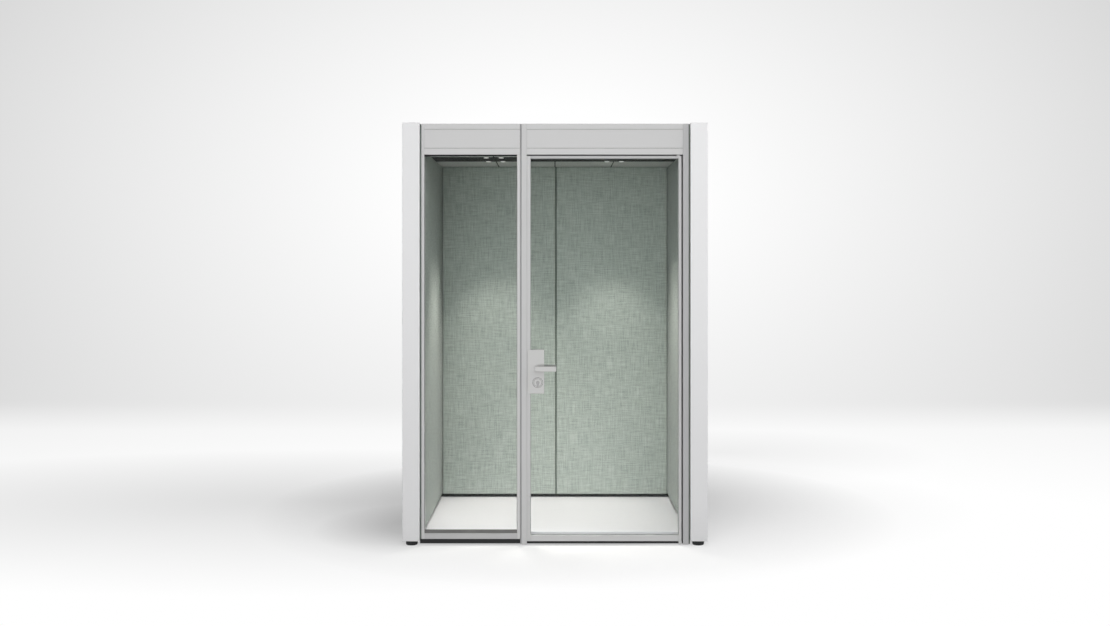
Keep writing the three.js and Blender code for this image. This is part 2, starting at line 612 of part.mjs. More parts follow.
function addUprights() {
  const flangeFront = FACADE_FRONT + SHADOW_DEPTH;
  const leftTube = upright(LEFT_JAMB_EDGE, LEFT_BAY_EDGE, SILL_BOTTOM, FACADE_TOP);
  const leftFlange = block(-INFILL_X, LEFT_JAMB_EDGE, flangeFront, FACADE_BACK, SILL_BOTTOM, FACADE_TOP);
  place('left_jamb', cut(join(leftTube, leftFlange), glazingSeat(fixedSight)), aluminium());

  const rightTube = upright(DOORWAY_RIGHT, RIGHT_JAMB_EDGE, POST_CLEARANCE, FACADE_TOP);
  const rightFlange = block(RIGHT_JAMB_EDGE, INFILL_X, flangeFront, FACADE_BACK, POST_CLEARANCE, FACADE_TOP);
  const stopTop = HEADER_BOTTOM - SEAT_GAP;
  const jambStop = block(DOORWAY_RIGHT - STOP_WIDTH, DOORWAY_RIGHT, STOP_FRONT, FACADE_BACK,
    THRESHOLD_TOP + SEAT_GAP, stopTop);
  place('right_jamb', join(rightTube, rightFlange, jambStop), aluminium());

  const post = upright(MULLION_LEFT, DOORWAY_LEFT, POST_CLEARANCE, FACADE_TOP);
  const webFront = FACADE_FRONT + MULLION_GROOVE_DEPTH;
  const web = block(FIXED_STILE_RIGHT + SEAT_GAP, MULLION_LEFT, webFront, FACADE_BACK,
    POST_CLEARANCE, FACADE_TOP);
  const mullionStop = block(DOORWAY_LEFT, DOORWAY_LEFT + STOP_WIDTH, STOP_FRONT, FACADE_BACK,
    THRESHOLD_TOP + SEAT_GAP, stopTop);
  place('mullion', cut(join(post, web, mullionStop), strikeBlock(SEAT_GAP)), aluminium());

  const stile = upright(FIXED_STILE_LEFT, FIXED_STILE_RIGHT, SILL_BOTTOM, HEADER_BOTTOM - SEAT_GAP);
  place('fixed_stile', cut(stile, glazingSeat(fixedSight)), aluminium());
}

function header(x0, x1) {
  const body = block(x0, x1, FACADE_FRONT, FACADE_BACK, HEADER_BOTTOM, FACADE_TOP);
  const wellFront = FACADE_FRONT + HEADER_WALL;
  const wellBottom = HEADER_BOTTOM + HEADER_FLANGE;
  const well = block(x0 - 1, x1 + 1, wellFront, FACADE_BACK + 1, wellBottom, FACADE_TOP - HEADER_WALL);
  const lineFloor = FACADE_FRONT + HEADER_LINE_DEPTH;
  const heights = [HEADER_BOTTOM + HEADER_LINE_BOTTOM, FACADE_TOP - HEADER_LINE_TOP];
  const lines = heights.map((z) => {
    return block(x0 - 1, x1 + 1, 0, lineFloor, z - HEADER_LINE / 2, z + HEADER_LINE / 2);
  });
  return cut(body, well, ...lines);
}

function addHeadersAndSill() {
  const left = header(LEFT_BAY_EDGE + SEAT_GAP, FIXED_STILE_RIGHT);
  place('header_left', cut(left, glazingSeat(fixedSight)), aluminium());

  const x0 = DOORWAY_LEFT + SEAT_GAP;
  const x1 = DOORWAY_RIGHT - SEAT_GAP;
  const stop = block(x0 + STOP_WIDTH, x1 - STOP_WIDTH, STOP_FRONT, FACADE_BACK,
    LEAF_TOP - STOP_WIDTH, HEADER_BOTTOM);
  const pinHole = uprightRod(PIVOT_X, LEAF_MIDDLE, HEADER_BOTTOM - 1,
    HEADER_BOTTOM + PIVOT_HEAD_SEAT + SEAT_GAP, PIVOT_RADIUS + SEAT_GAP, FINE_SIDES);
  place('header_right', cut(join(header(x0, x1), stop), pinHole), aluminium());

  const [s0, s1] = [LEFT_BAY_EDGE + SEAT_GAP, FIXED_STILE_LEFT - SEAT_GAP];
  const sill = block(s0, s1, FACADE_FRONT, FACADE_BACK, SILL_BOTTOM, SILL_TOP);
  const sillCore = block(s0 - 1, s1 + 1, FACADE_FRONT + PROFILE_WALL, FACADE_BACK - PROFILE_WALL,
    SILL_BOTTOM + PROFILE_WALL, SILL_TOP - PROFILE_WALL);
  place('fixed_sill', cut(sill, sillCore, glazingSeat(fixedSight)), aluminium());
}

function addPlinths() {
  const front = FACADE_FRONT + PLINTH_SETBACK;
  const leftTop = SILL_BOTTOM - SEAT_GAP;
  const left = block(-INFILL_X, FIXED_STILE_RIGHT, front, FACADE_BACK, PLINTH_CLEARANCE, leftTop);
  place('fixed_bay_plinth', left, blackSteel());
  const threshold = block(DOORWAY_LEFT + SEAT_GAP, DOORWAY_RIGHT - SEAT_GAP, front, FACADE_BACK,
    PLINTH_CLEARANCE, THRESHOLD_TOP);
  const pinHole = uprightRod(PIVOT_X, LEAF_MIDDLE, 0, THRESHOLD_TOP + 1, PIVOT_RADIUS + SEAT_GAP, FINE_SIDES);
  place('door_threshold', cut(threshold, pinHole), blackSteel());
}

function addFixedGlazing() {
  place('fixed_glass', pane(fixedSight), glass());
  place('fixed_glass_gasket', gasket(fixedSight, FOOT_BEAD, HEAD_BEAD), rubber());
}

// Door: a slim frame with a round heel, its pane and gasket, the seal it shuts on, two pivots
function addDoor() {
  const stiles = block(LEAF_LEFT, PIVOT_X, LEAF_FRONT, LEAF_BACK, DOOR_BOTTOM, LEAF_TOP);
  const heel = uprightRod(PIVOT_X, LEAF_MIDDLE, DOOR_BOTTOM, LEAF_TOP, DOOR_THICKNESS / 2);
  const view = glazingBlock(doorSight, 0, LEAF_FRONT - 1, LEAF_BACK + 1);
  const boreRadius = PIVOT_RADIUS + SEAT_GAP;
  const footBoreTop = DOOR_BOTTOM + PIVOT_FOOT_REACH + SEAT_GAP;
  const footBoreTool = uprightRod(PIVOT_X, LEAF_MIDDLE, 0, footBoreTop, boreRadius, FINE_SIDES);
  const headBoreBottom = LEAF_TOP - PIVOT_HEAD_REACH - SEAT_GAP;
  const headBoreTool = uprightRod(PIVOT_X, LEAF_MIDDLE, headBoreBottom, LEAF_TOP + 1, boreRadius, FINE_SIDES);
  const slots = [latchSlot(LEAF_LEFT - 1), boltSlot(LEAF_LEFT - 1)];
  const frame = cut(join(stiles, heel), view, glazingSeat(doorSight), footBoreTool, headBoreTool, ...slots);
  place('door_frame', frame, aluminium());

  const notchBottom = CASE_BOTTOM - SEAT_GAP;
  const notchTop = CASE_TOP + SEAT_GAP;
  const notch = block(LEAF_LEFT, CASE_RIGHT + SEAT_GAP, LEAF_FRONT, LEAF_BACK, notchBottom, notchTop);
  place('door_glass', cut(pane(doorSight), notch), glass());
  const lockRoom = block(LEAF_LEFT, LOCK_RIGHT, 0, FACADE_BACK, LOCK_BOTTOM - SEAT_GAP, LOCK_TOP + SEAT_GAP);
  place('door_glass_gasket', cut(gasket(doorSight, GASKET_LIP, GASKET_LIP), lockRoom), rubber());
}

function addDoorSeal() {
  const front = LEAF_BACK + SEAT_GAP;
  const back = STOP_FRONT - SEAT_GAP;
  const x0 = DOORWAY_LEFT + SEAT_GAP;
  const x1 = DOORWAY_RIGHT - SEAT_GAP;
  const z0 = THRESHOLD_TOP + SEAT_GAP;
  const z1 = HEADER_BOTTOM - SEAT_GAP;
  const inner = DOOR_LATCH_GAP + SEAT_GAP + SEAL_WIDTH;
  const headDrop = DOOR_TOP_GAP + SEAL_WIDTH;
  const body = block(x0, x1, front, back, z0, z1);
  const way = block(x0 + inner, x1 - inner, front - 1, back + 1, z0 - 1, z1 - headDrop);
  place('door_seal', cut(body, way), rubber());
}

function addPivots() {
  const footPinTop = DOOR_BOTTOM + PIVOT_FOOT_REACH;
  const footPin = uprightRod(PIVOT_X, LEAF_MIDDLE, PLINTH_CLEARANCE, footPinTop, PIVOT_RADIUS, FINE_SIDES);
  const footWasher = uprightRod(PIVOT_X, LEAF_MIDDLE, THRESHOLD_TOP + SEAT_GAP, DOOR_BOTTOM - SEAT_GAP,
    PIVOT_WASHER_RADIUS, FINE_SIDES);
  place('bottom_pivot', join(footPin, footWasher), satinSteel());
  const headPin = uprightRod(PIVOT_X, LEAF_MIDDLE, LEAF_TOP - PIVOT_HEAD_REACH,
    HEADER_BOTTOM + PIVOT_HEAD_SEAT, PIVOT_RADIUS, FINE_SIDES);
  const headWasher = uprightRod(PIVOT_X, LEAF_MIDDLE, LEAF_TOP + SEAT_GAP, HEADER_BOTTOM - SEAT_GAP,
    PIVOT_WASHER_RADIUS, FINE_SIDES);
  place('top_pivot', join(headPin, headWasher), satinSteel());
}

// Lock: the spaces that the latch and the bolt run in, then each piece of the case
function latchSlot(x0) {
  const half = LATCH_DEPTH / 2 + RUNNING_GAP;
  const [z0, z1] = [LATCH_BOTTOM - RUNNING_GAP, LATCH_TOP + RUNNING_GAP];
  return block(x0, CASE_LEFT + LOCK_CASE_WALL + 1, LEAF_MIDDLE - half, LEAF_MIDDLE + half, z0, z1);
}

function boltSlot(x0) {
  const half = LATCH_DEPTH / 2 + RUNNING_GAP;
  const [z0, z1] = [BOLT_LOW - RUNNING_GAP, BOLT_HIGH + RUNNING_GAP];
  return block(x0, CASE_LEFT + LOCK_CASE_WALL + 1, LEAF_MIDDLE - half, LEAF_MIDDLE + half, z0, z1);
}

function strikeBlock(grow) {
  const half = STRIKE_WIDTH / 2 + grow;
  const z0 = BOLT_LOW - STRIKE_MARGIN - grow;
  const z1 = LATCH_TOP + STRIKE_MARGIN + grow;
  return block(DOORWAY_LEFT - PROFILE_WALL - grow, DOORWAY_LEFT + grow,
    LEAF_MIDDLE - half, LEAF_MIDDLE + half, z0, z1);
}

function spindleHole() {
  const radius = LEVER_NECK_RADIUS + SEAT_GAP;
  return throughRod(LEVER_X, LEVER_HEIGHT, 0, FACADE_BACK, radius, FINE_SIDES);
}

function plugHole() {
  return throughRod(LEVER_X, CYLINDER_HEIGHT, 0, FACADE_BACK, PLUG_RADIUS + SEAT_GAP, FINE_SIDES);
}

function addLockCase() {
  const blockLeft = SIGHT_LEFT + SEAT_GAP;
  const plate = block(LOCK_LEFT, LOCK_RIGHT, LOCK_FACE, LEAF_FRONT - SEAT_GAP, LOCK_BOTTOM, LOCK_TOP);
  const packer = block(blockLeft, LOCK_RIGHT, LOCK_FACE, GLASS_FRONT - SEAT_GAP, LOCK_BOTTOM, LOCK_TOP);
  const roseFront = LOCK_FACE - CYLINDER_ROSE_PROUD;
  const rose = throughRod(LEVER_X, CYLINDER_HEIGHT, roseFront, LEAF_FRONT - SEAT_GAP, CYLINDER_ROSE_RADIUS);
  place('lock_plate_outer', cut(join(plate, packer, rose), spindleHole(), plugHole()), satinSteel());

  const inner = block(blockLeft, LOCK_RIGHT, GLASS_BACK + SEAT_GAP, LOCK_BACK_FACE, LOCK_BOTTOM, LOCK_TOP);
  place('lock_plate_inner', cut(inner, spindleHole(), plugHole()), satinSteel());

  const body = block(CASE_LEFT, CASE_RIGHT, CASE_FRONT, CASE_BACK, CASE_BOTTOM, CASE_TOP);
  const well = block(CASE_LEFT + LOCK_CASE_WALL, CASE_RIGHT - LOCK_CASE_WALL, CASE_FRONT + LOCK_CASE_BACK,
    CASE_BACK + 1, CASE_BOTTOM + LOCK_CASE_WALL, CASE_TOP - LOCK_CASE_WALL);
  const slots = [latchSlot(LEAF_LEFT), boltSlot(LEAF_LEFT)];
  place('lock_body', cut(body, well, spindleHole(), plugHole(), ...slots), satinSteel());

  const plateSlots = [latchSlot(MULLION_LEFT), boltSlot(MULLION_LEFT)];
  place('strike_plate', cut(strikeBlock(0), ...plateSlots), satinSteel());
}

// Lever handles: a flat bar with soft corners, its neck near one end
function leverBar(y0, y1) {
  const half = LEVER_BAR_HEIGHT / 2;
  const root = LEVER_X - LEVER_ROOT;
  const tip = LEVER_X + LEVER_REACH;
  const round = LEVER_TIP_ROUND;
  const shape = new THREE.Shape();
  shape.absarc(root + round, LEVER_HEIGHT + half - round, round, Math.PI / 2, Math.PI, false);
  shape.absarc(root + round, LEVER_HEIGHT - half + round, round, Math.PI, 1.5 * Math.PI, false);
  shape.absarc(tip - round, LEVER_HEIGHT - half + round, round, -Math.PI / 2, 0, false);
  shape.absarc(tip - round, LEVER_HEIGHT + half - round, round, 0, Math.PI / 2, false);
  const options = { depth: y1 - y0, bevelEnabled: false, curveSegments: 10 };
  const geometry = new THREE.ExtrudeGeometry(shape, options);
  geometry.rotateX(Math.PI / 2);
  geometry.translate(0, y1, 0);
  return solid(geometry);
}

function squareBar(size, y0, y1) {
  const half = size / 2;
  return block(LEVER_X - half, LEVER_X + half, y0, y1, LEVER_HEIGHT - half, LEVER_HEIGHT + half);
}

function addLevers() {
  const outerEnd = LOCK_FACE - LEVER_PROJECTION;
  const innerEnd = LOCK_BACK_FACE + LEVER_PROJECTION;
  const neckRoot = CASE_FRONT + LOCK_CASE_BACK;
  const outerNeck = throughRod(LEVER_X, LEVER_HEIGHT, outerEnd, neckRoot, LEVER_NECK_RADIUS, FINE_SIDES);
  const spindleEnd = LOCK_BACK_FACE + SPINDLE_SOCKET;
  const spindle = squareBar(SPINDLE_SIZE, neckRoot - 1, spindleEnd);
  const outerBar = leverBar(outerEnd, outerEnd + LEVER_BAR_DEPTH);
  place('lever_outer', join(outerBar, outerNeck, spindle), satinSteel());

  const neckStart = CASE_BACK + SEAT_GAP;
  const innerNeck = throughRod(LEVER_X, LEVER_HEIGHT, neckStart, innerEnd, LEVER_NECK_RADIUS, FINE_SIDES);
  const socket = squareBar(SPINDLE_SIZE + 2 * SEAT_GAP, 0, spindleEnd + SEAT_GAP);
  const innerBar = leverBar(innerEnd - LEVER_BAR_DEPTH, innerEnd);
  place('lever_inner', cut(join(innerBar, innerNeck), socket), satinSteel());

  const [f0, f1] = [LEAF_MIDDLE - FOLLOWER_THICKNESS / 2, LEAF_MIDDLE + FOLLOWER_THICKNESS / 2];
  const ring = throughRod(LEVER_X, LEVER_HEIGHT, f0, f1, FOLLOWER_RADIUS, FINE_SIDES);
  const armHalf = FOLLOWER_ARM_WIDTH / 2;
  const arm = block(LEVER_X - armHalf, LEVER_X + armHalf, f0, f1, LEVER_HEIGHT, LEVER_HEIGHT + FOLLOWER_ARM);
  const square = squareBar(SPINDLE_SIZE + 2 * SEAT_GAP, f0 - 1, f1 + 1);
  place('latch_follower', cut(join(ring, arm), square), satinSteel());
}

// Spring latch with a notch over the follower's arm, and the bolt that the cylinder throws
function addBolts() {
  const half = LATCH_DEPTH / 2;
  const [y0, y1] = [LEAF_MIDDLE - half, LEAF_MIDDLE + half];
  const notchHalf = FOLLOWER_ARM_WIDTH / 2 + LATCH_NOTCH_PLAY;
  const latch = block(LEAF_LEFT - LATCH_THROW, LEVER_X + LATCH_TAIL, y0, y1, LATCH_BOTTOM, LATCH_TOP);
  const notchTop = LEVER_HEIGHT + FOLLOWER_ARM + LATCH_NOTCH_PLAY;
  const notch = block(LEVER_X - notchHalf, LEVER_X + notchHalf, y0 - 1, y1 + 1, LATCH_BOTTOM - 1, notchTop);
  place('latch_bolt', cut(latch, notch), satinSteel());
  const tail = LEVER_X - PLUG_RADIUS - BOLT_TAIL_GAP;
  const bolt = block(LEAF_LEFT + BOLT_SETBACK, tail, y0, y1, BOLT_LOW, BOLT_HIGH);
  place('dead_bolt', bolt, satinSteel());
}

// Key cylinder's plug, with its keyway and cam, and the thumb turn on its inner end
function addCylinder() {
  const plugFront = LOCK_FACE - CYLINDER_ROSE_PROUD;
  const plug = throughRod(LEVER_X, CYLINDER_HEIGHT, plugFront, LOCK_BACK_FACE, PLUG_RADIUS, FINE_SIDES);
  const camHalf = PLUG_CAM_WIDTH / 2;
  const [c0, c1] = [LEAF_MIDDLE - FOLLOWER_THICKNESS / 2, LEAF_MIDDLE + FOLLOWER_THICKNESS / 2];
  const camBottom = CYLINDER_HEIGHT - PLUG_CAM_REACH;
  const cam = block(LEVER_X - camHalf, LEVER_X + camHalf, c0, c1, camBottom, CYLINDER_HEIGHT);
  const [kx, kz] = [KEYWAY_WIDTH / 2, KEYWAY_HEIGHT / 2];
  const keyway = block(LEVER_X - kx, LEVER_X + kx, plugFront - 1, plugFront + KEYWAY_DEPTH,
    CYLINDER_HEIGHT - kz, CYLINDER_HEIGHT + kz);
  place('key_plug', cut(join(plug, cam), keyway), satinSteel());

  const turnBack = LOCK_BACK_FACE + TURN_PROJECTION;
  const [tx, tz] = [TURN_THICKNESS / 2, TURN_LENGTH / 2];
  const base = throughRod(LEVER_X, CYLINDER_HEIGHT, LOCK_BACK_FACE + SEAT_GAP,
    LOCK_BACK_FACE + TURN_PROJECTION / 2, PLUG_RADIUS, FINE_SIDES);
  const wing = block(LEVER_X - tx, LEVER_X + tx, LOCK_BACK_FACE + TURN_PROJECTION / 4, turnBack,
    CYLINDER_HEIGHT - tz, CYLINDER_HEIGHT + tz);
  place('thumb_turn', join(base, wing), satinSteel());
}

// Levelling feet: a round pad on a stem that screws into the wall's bottom rail
function footX(sign) {
  return sign * (POD_WIDTH / 2 - WALL_THICKNESS / 2);
}

function footBore(sign, y) {
  const top = GROUND_GAP - FOOT_TRIM + STEM_LENGTH + SEAT_GAP;
  return uprightRod(footX(sign), y, 0, top, STEM_RADIUS + SEAT_GAP, FINE_SIDES);
}

function addFeet() {
  const rows = { front: FOOT_INSET, rear: POD_DEPTH - FOOT_INSET };
  const padTop = GROUND_GAP - FOOT_TRIM;
  for (const [row, y] of Object.entries(rows)) {
    for (const { name, sign } of SIDES) {
      const pad = uprightRod(footX(sign), y, 0, padTop, FOOT_RADIUS);
      const stem = uprightRod(footX(sign), y, 0, padTop + STEM_LENGTH, STEM_RADIUS, FINE_SIDES);
      place(`foot_${row}_${name}`, join(pad, stem), blackPlastic());
    }
  }
}

addSideWalls();
addBackWall();
addFloor();
addCeiling();
addRoof();
addDownlights();
addVentilation();
addSupply();
addUprights();
addHeadersAndSill();
addPlinths();
addFixedGlazing();
addDoor();
addDoorSeal();
addPivots();
addLockCase();
addLevers();
addBolts();
addCylinder();
addFeet();

const part = new THREE.Group();
part.add(pod);

export default part;
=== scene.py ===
"""Acoustic office pod: the finishes, linings, front, door, lock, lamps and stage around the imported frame."""
import json
import math

import bmesh
import bpy
from bpy.props import FloatProperty, FloatVectorProperty, IntProperty, PointerProperty
from mathutils import Matrix, Vector, noise

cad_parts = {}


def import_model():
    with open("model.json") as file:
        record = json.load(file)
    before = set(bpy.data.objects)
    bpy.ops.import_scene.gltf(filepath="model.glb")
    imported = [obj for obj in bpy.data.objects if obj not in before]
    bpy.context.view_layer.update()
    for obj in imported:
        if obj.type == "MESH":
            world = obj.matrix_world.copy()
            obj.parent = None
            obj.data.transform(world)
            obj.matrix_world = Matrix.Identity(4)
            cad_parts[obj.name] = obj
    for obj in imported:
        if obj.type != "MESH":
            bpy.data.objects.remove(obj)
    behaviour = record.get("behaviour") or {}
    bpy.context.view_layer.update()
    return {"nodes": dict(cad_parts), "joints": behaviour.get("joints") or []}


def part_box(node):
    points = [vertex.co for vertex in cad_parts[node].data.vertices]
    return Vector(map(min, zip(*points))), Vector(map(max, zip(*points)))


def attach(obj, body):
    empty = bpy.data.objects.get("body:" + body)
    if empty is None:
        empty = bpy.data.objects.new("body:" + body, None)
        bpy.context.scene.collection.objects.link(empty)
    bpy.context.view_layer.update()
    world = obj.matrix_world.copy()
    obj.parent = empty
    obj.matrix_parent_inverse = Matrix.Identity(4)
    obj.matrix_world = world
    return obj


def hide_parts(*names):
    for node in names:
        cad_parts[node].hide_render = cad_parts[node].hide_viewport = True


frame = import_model()

bl_info = {
    "name": "Acoustic office pod",
    "version": (1, 0, 0),
    "blender": (4, 5, 0),
    "location": "3D View > Sidebar > Pod",
    "description": "Builds the visible pieces of an acoustic office pod around its packed frame",
    "category": "Object",
}

WELD = 1e-5
FLAT = math.radians(1.0)
SHARP = math.radians(25.0)
ROUND_SIDES = 64
SIDES = ("left", "right")
ENDS = ("front", "rear")


def srgb(*levels):
    """Scene-linear colour of 8-bit sRGB levels."""
    shares = [level / 255 for level in levels]
    return tuple(s / 12.92 if s <= 0.04045 else ((s + 0.055) / 1.055) ** 2.4 for s in shares)


def colour(name, description, *levels):
    """A colour property whose default is given in sRGB levels."""
    return FloatVectorProperty(name=name, description=description, subtype="COLOR", size=3,
                               min=0.0, max=1.0, default=srgb(*levels))


def length(name, description, metres):
    """A length property in metres."""
    return FloatProperty(name=name, description=description, unit="LENGTH", min=0.0, precision=4,
                         default=metres)


class PodFinishes(bpy.types.PropertyGroup):
    """Colours of the pod's finishes."""

    lacquer: colour("Wall lacquer", "Matt lacquer of the side walls, back and roof", 226, 226, 227)
    aluminium: colour("Frame aluminium", "Anodised profiles of the fixed front", 199, 199, 199)
    # Sill aluminium is darker as painted shade.
    sill_aluminium: colour("Sill aluminium", "Darker anodised sill", 184, 184, 185)
    # Jamb aluminium is darker as painted shade, on the right jamb and the door's top rail.
    jamb_aluminium: colour("Jamb aluminium", "Darker anodised right jamb and door head", 183, 183, 184)
    door_aluminium: colour("Door aluminium", "Anodised profiles of the door leaf", 195, 195, 195)
    steel: colour("Satin steel", "Outer lock plate, lever and cylinder, bolts and screws", 197, 197, 196)
    # Inner steel is darker as painted shade.
    inner_steel: colour("Inner steel", "Darker satin steel of the lock's room side", 140, 140, 140)
    sage: colour("Sage cloth", "Linen cloth of the wall linings", 180, 188, 181)
    ceiling: colour("Ceiling cloth", "Woven cloth of the ceiling pads", 202, 204, 200)
    floor: colour("Floor laminate", "White satin laminate of the floor", 245, 242, 247)
    black: colour("Black coat", "Powder coat of plinth and threshold", 23, 24, 25)
    foot: colour("Foot plastic", "Moulded plastic of feet, fans and inlet", 40, 41, 42)
    strip: colour("Strip black", "Matt black of the ceiling's service strip", 27, 27, 27)
    rubber: colour("Rubber", "Gasket of the fixed pane and the door seal", 108, 108, 107)
    pane_gasket: colour("Pane gasket", "Paler gasket of the door pane", 150, 151, 150)
    edge_seal: colour("Edge seal", "Grey-green seals in the gaps beside the front", 100, 109, 102)
    felt: colour("Felt", "Fleece on the wall absorbers", 34, 36, 35)
    lamp: colour("Lamp coat", "Pale coat of the downlight heads and the lamp driver", 238, 238, 236)
    glass: colour("Glass", "Tint of the laminated panes", 250, 252, 251)


class PodSizes(bpy.types.PropertyGroup):
    """Sizes of the finish that the frame doesn't hold."""

    wall_round: length("Wall edge", "Radius on the outer edges of the walls", 0.0025)
    profile_round: length("Profile edge", "Radius on the front edges of the profiles", 0.0012)
    heel_round: length("Heel corner", "Radius on the corners of the door's heel stile", 0.007)
    lock_round: length("Lock edge", "Radius on the edges of the lock plates", 0.0018)
    lever_round: length("Lever edge", "Radius on the edges of the lever bars", 0.0054)
    pad_round: length("Pad edge", "Radius of the cloth over a lining's edge", 0.007)
    pad_crown: length("Pad crown", "Rise of a lining's middle over its edges", 0.0015)
    joint: length("Joint", "Hairline between two profiles of the door leaf", 0.0005)
    screw: length("Screw head", "Diameter of the visible screw heads", 0.008)
    foot_ribs: IntProperty(name="Foot ribs", description="Grip ribs round a levelling foot", min=6, default=28)


class PodStage(bpy.types.PropertyGroup):
    """Camera and light of the plain stage."""

    distance: length("Camera distance", "From the lens to the front edges of the side walls", 7.5)
    eye_height: length("Eye height", "Height of the lens over the ground", 1.7275)
    lens: FloatProperty(name="Lens", description="Focal length", unit="CAMERA", default=38.92)
    rise: FloatProperty(name="Shift", description="Upright lens shift, as a share of the width", default=-0.0387)
    key_power: FloatProperty(name="Key light", description="Softbox high in front", unit="POWER", default=88.0)
    fill_power: FloatProperty(name="Fill light", description="Softbox in front", unit="POWER", default=176.0)
    side_power: FloatProperty(name="Side light", description="Softbox on the right", unit="POWER", default=160.0)
    back_power: FloatProperty(name="Back light", description="Softbox behind", unit="POWER", default=150.0)
    lamp_power: FloatProperty(name="Downlights", description="Each ceiling lamp", unit="POWER", default=25.4)
    lamp_angle: FloatProperty(name="Lamp angle", description="Full cone of a ceiling lamp", subtype="ANGLE",
                              default=math.radians(62))


def edges_of(node):
    """Lowest and highest corner of a CAD node, as plain tuples."""
    low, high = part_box(node)
    return tuple(low), tuple(high)


def add_block(shape, low, high):
    """Adds a block between two corners and returns its vertices."""
    made = bmesh.ops.create_cube(shape, size=1.0)["verts"]
    low, high = Vector(low), Vector(high)
    for vert in made:
        vert.co = Vector(low[i] + (vert.co[i] + 0.5) * (high[i] - low[i]) for i in range(3))
    return made


def add_rounded_block(shape, low, high, radius, segments=3):
    """Adds a block with rounded edges."""
    made = add_block(shape, low, high)
    edges = list({edge for vert in made for edge in vert.link_edges})
    bmesh.ops.bevel(shape, geom=edges, offset=radius, segments=segments, profile=0.5,
                    affect="EDGES", clamp_overlap=True)


def add_turned(shape, profile, turn, sides=ROUND_SIDES, index=0):
    """Adds a turned form: profile holds (radius, height) pairs that start and end on the axis."""
    rings = []
    for radius, height in profile:
        count = sides if radius > 0 else 1
        angles = [2 * math.pi * i / sides for i in range(count)]
        points = [Vector((radius * math.cos(a), radius * math.sin(a), height)) for a in angles]
        rings.append([shape.verts.new(turn @ point) for point in points])
    made = []
    for lower, upper in zip(rings, rings[1:]):
        for i in range(sides):
            j = (i + 1) % sides
            corners = [lower[i % len(lower)], lower[j % len(lower)], upper[j % len(upper)], upper[i % len(upper)]]
            made.append(shape.faces.new(list(dict.fromkeys(corners))))
    for face in made:
        face.material_index = index
    bmesh.ops.recalc_face_normals(shape, faces=made)


def add_prism(shape, points, push):
    """Adds a flat outline pushed along a vector and returns its faces."""
    near = [shape.verts.new(point) for point in points]
    far = [shape.verts.new(point + push) for point in points]
    made = [shape.faces.new(near), shape.faces.new(far[::-1])]
    for i in range(len(points)):
        j = (i + 1) % len(points)
        made.append(shape.faces.new([near[j], near[i], far[i], far[j]]))
    bmesh.ops.recalc_face_normals(shape, faces=made)
    return made


def arc(middle, radius, start, stop, steps):
    """Points of an arc in a plane, angles in degrees."""
    angles = [math.radians(start + (stop - start) * i / steps) for i in range(steps + 1)]
    return [(middle[0] + radius * math.cos(a), middle[1] + radius * math.sin(a)) for a in angles]


def solid_copy(node):
    """A merged copy of a CAD node's mesh whose flat faces are whole again."""
    source = frame["nodes"][node].data
    shape = bmesh.new()
    verts = [shape.verts.new(vert.co) for vert in source.vertices]
    for polygon in source.polygons:
        shape.faces.new([verts[i] for i in polygon.vertices])
    bmesh.ops.remove_doubles(shape, verts=shape.verts, dist=WELD)
    bmesh.ops.dissolve_limit(shape, angle_limit=FLAT, verts=shape.verts, edges=shape.edges)
    return shape


def round_edges(shape, radius, pick=None, segments=3):
    """Rounds the sharp edges that pick accepts by their middle point."""
    chosen = []
    for edge in shape.edges:
        if len(edge.link_faces) != 2 or edge.calc_face_angle(0.0) < SHARP:
            continue
        if pick is None or pick((edge.verts[0].co + edge.verts[1].co) / 2):
            chosen.append(edge)
    bmesh.ops.bevel(shape, geom=chosen, offset=radius, segments=segments, profile=0.5,
                    affect="EDGES", clamp_overlap=True)


def cut_away(shape, point, outward):
    """Cuts off what lies on the outward side of a plane and closes the cut."""
    geometry = list(shape.verts) + list(shape.edges) + list(shape.faces)
    bmesh.ops.bisect_plane(shape, geom=geometry, plane_co=point, plane_no=outward, clear_outer=True)
    rim = [edge for edge in shape.edges if edge.is_boundary]
    bmesh.ops.holes_fill(shape, edges=rim, sides=0)


def on_hull(low, high, reach=1e-4):
    """A pick for the outer edges of a box: points that lie on two of its faces."""
    def pick(point):
        near = [min(abs(point[i] - low[i]), abs(point[i] - high[i])) < reach for i in range(3)]
        return sum(near) >= 2
    return pick


def before(depth):
    """A pick for points in front of a depth."""
    return lambda point: point.y < depth


def settle(obj):
    """Turns an object's modifiers into its own plain mesh."""
    depsgraph = bpy.context.evaluated_depsgraph_get()
    plain = bpy.data.meshes.new_from_object(obj.evaluated_get(depsgraph), preserve_all_data_layers=True,
                                            depsgraph=depsgraph)
    plain.name = obj.name
    old = obj.data
    obj.modifiers.clear()
    obj.data = plain
    bpy.data.meshes.remove(old)


def add_piece(name, shape, finishes, body, nodes=(), smooth=True):
    """Makes a finished piece of a bmesh: its finishes, its body and the CAD nodes it stands for."""
    mesh = bpy.data.meshes.new(name)
    shape.to_mesh(mesh)
    shape.free()
    for finish in finishes:
        mesh.materials.append(finish)
    obj = bpy.data.objects.new(name, mesh)
    bpy.context.scene.collection.objects.link(obj)
    if smooth:
        mesh.shade_smooth()
        mesh.set_sharp_from_angle(angle=math.radians(60))
        weigh = obj.modifiers.new("Even normals", "WEIGHTED_NORMAL")
        weigh.keep_sharp = True
        settle(obj)
    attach(obj, body)
    if nodes:
        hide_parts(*nodes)
    return obj


def dress(finish, *nodes):
    """Gives CAD nodes that stay visible a finish of their own."""
    for node in nodes:
        slots = frame["nodes"][node].data.materials
        slots.clear()
        slots.append(finish)


def finishes():
    """The finish colours of this scene."""
    return bpy.context.scene.pod_finishes


def sizes():
    """The finish sizes of this scene."""
    return bpy.context.scene.pod_sizes


def shade(tint, share):
    """A colour made darker or lighter by a share."""
    return tuple(min(1.0, channel * share) for channel in tint)


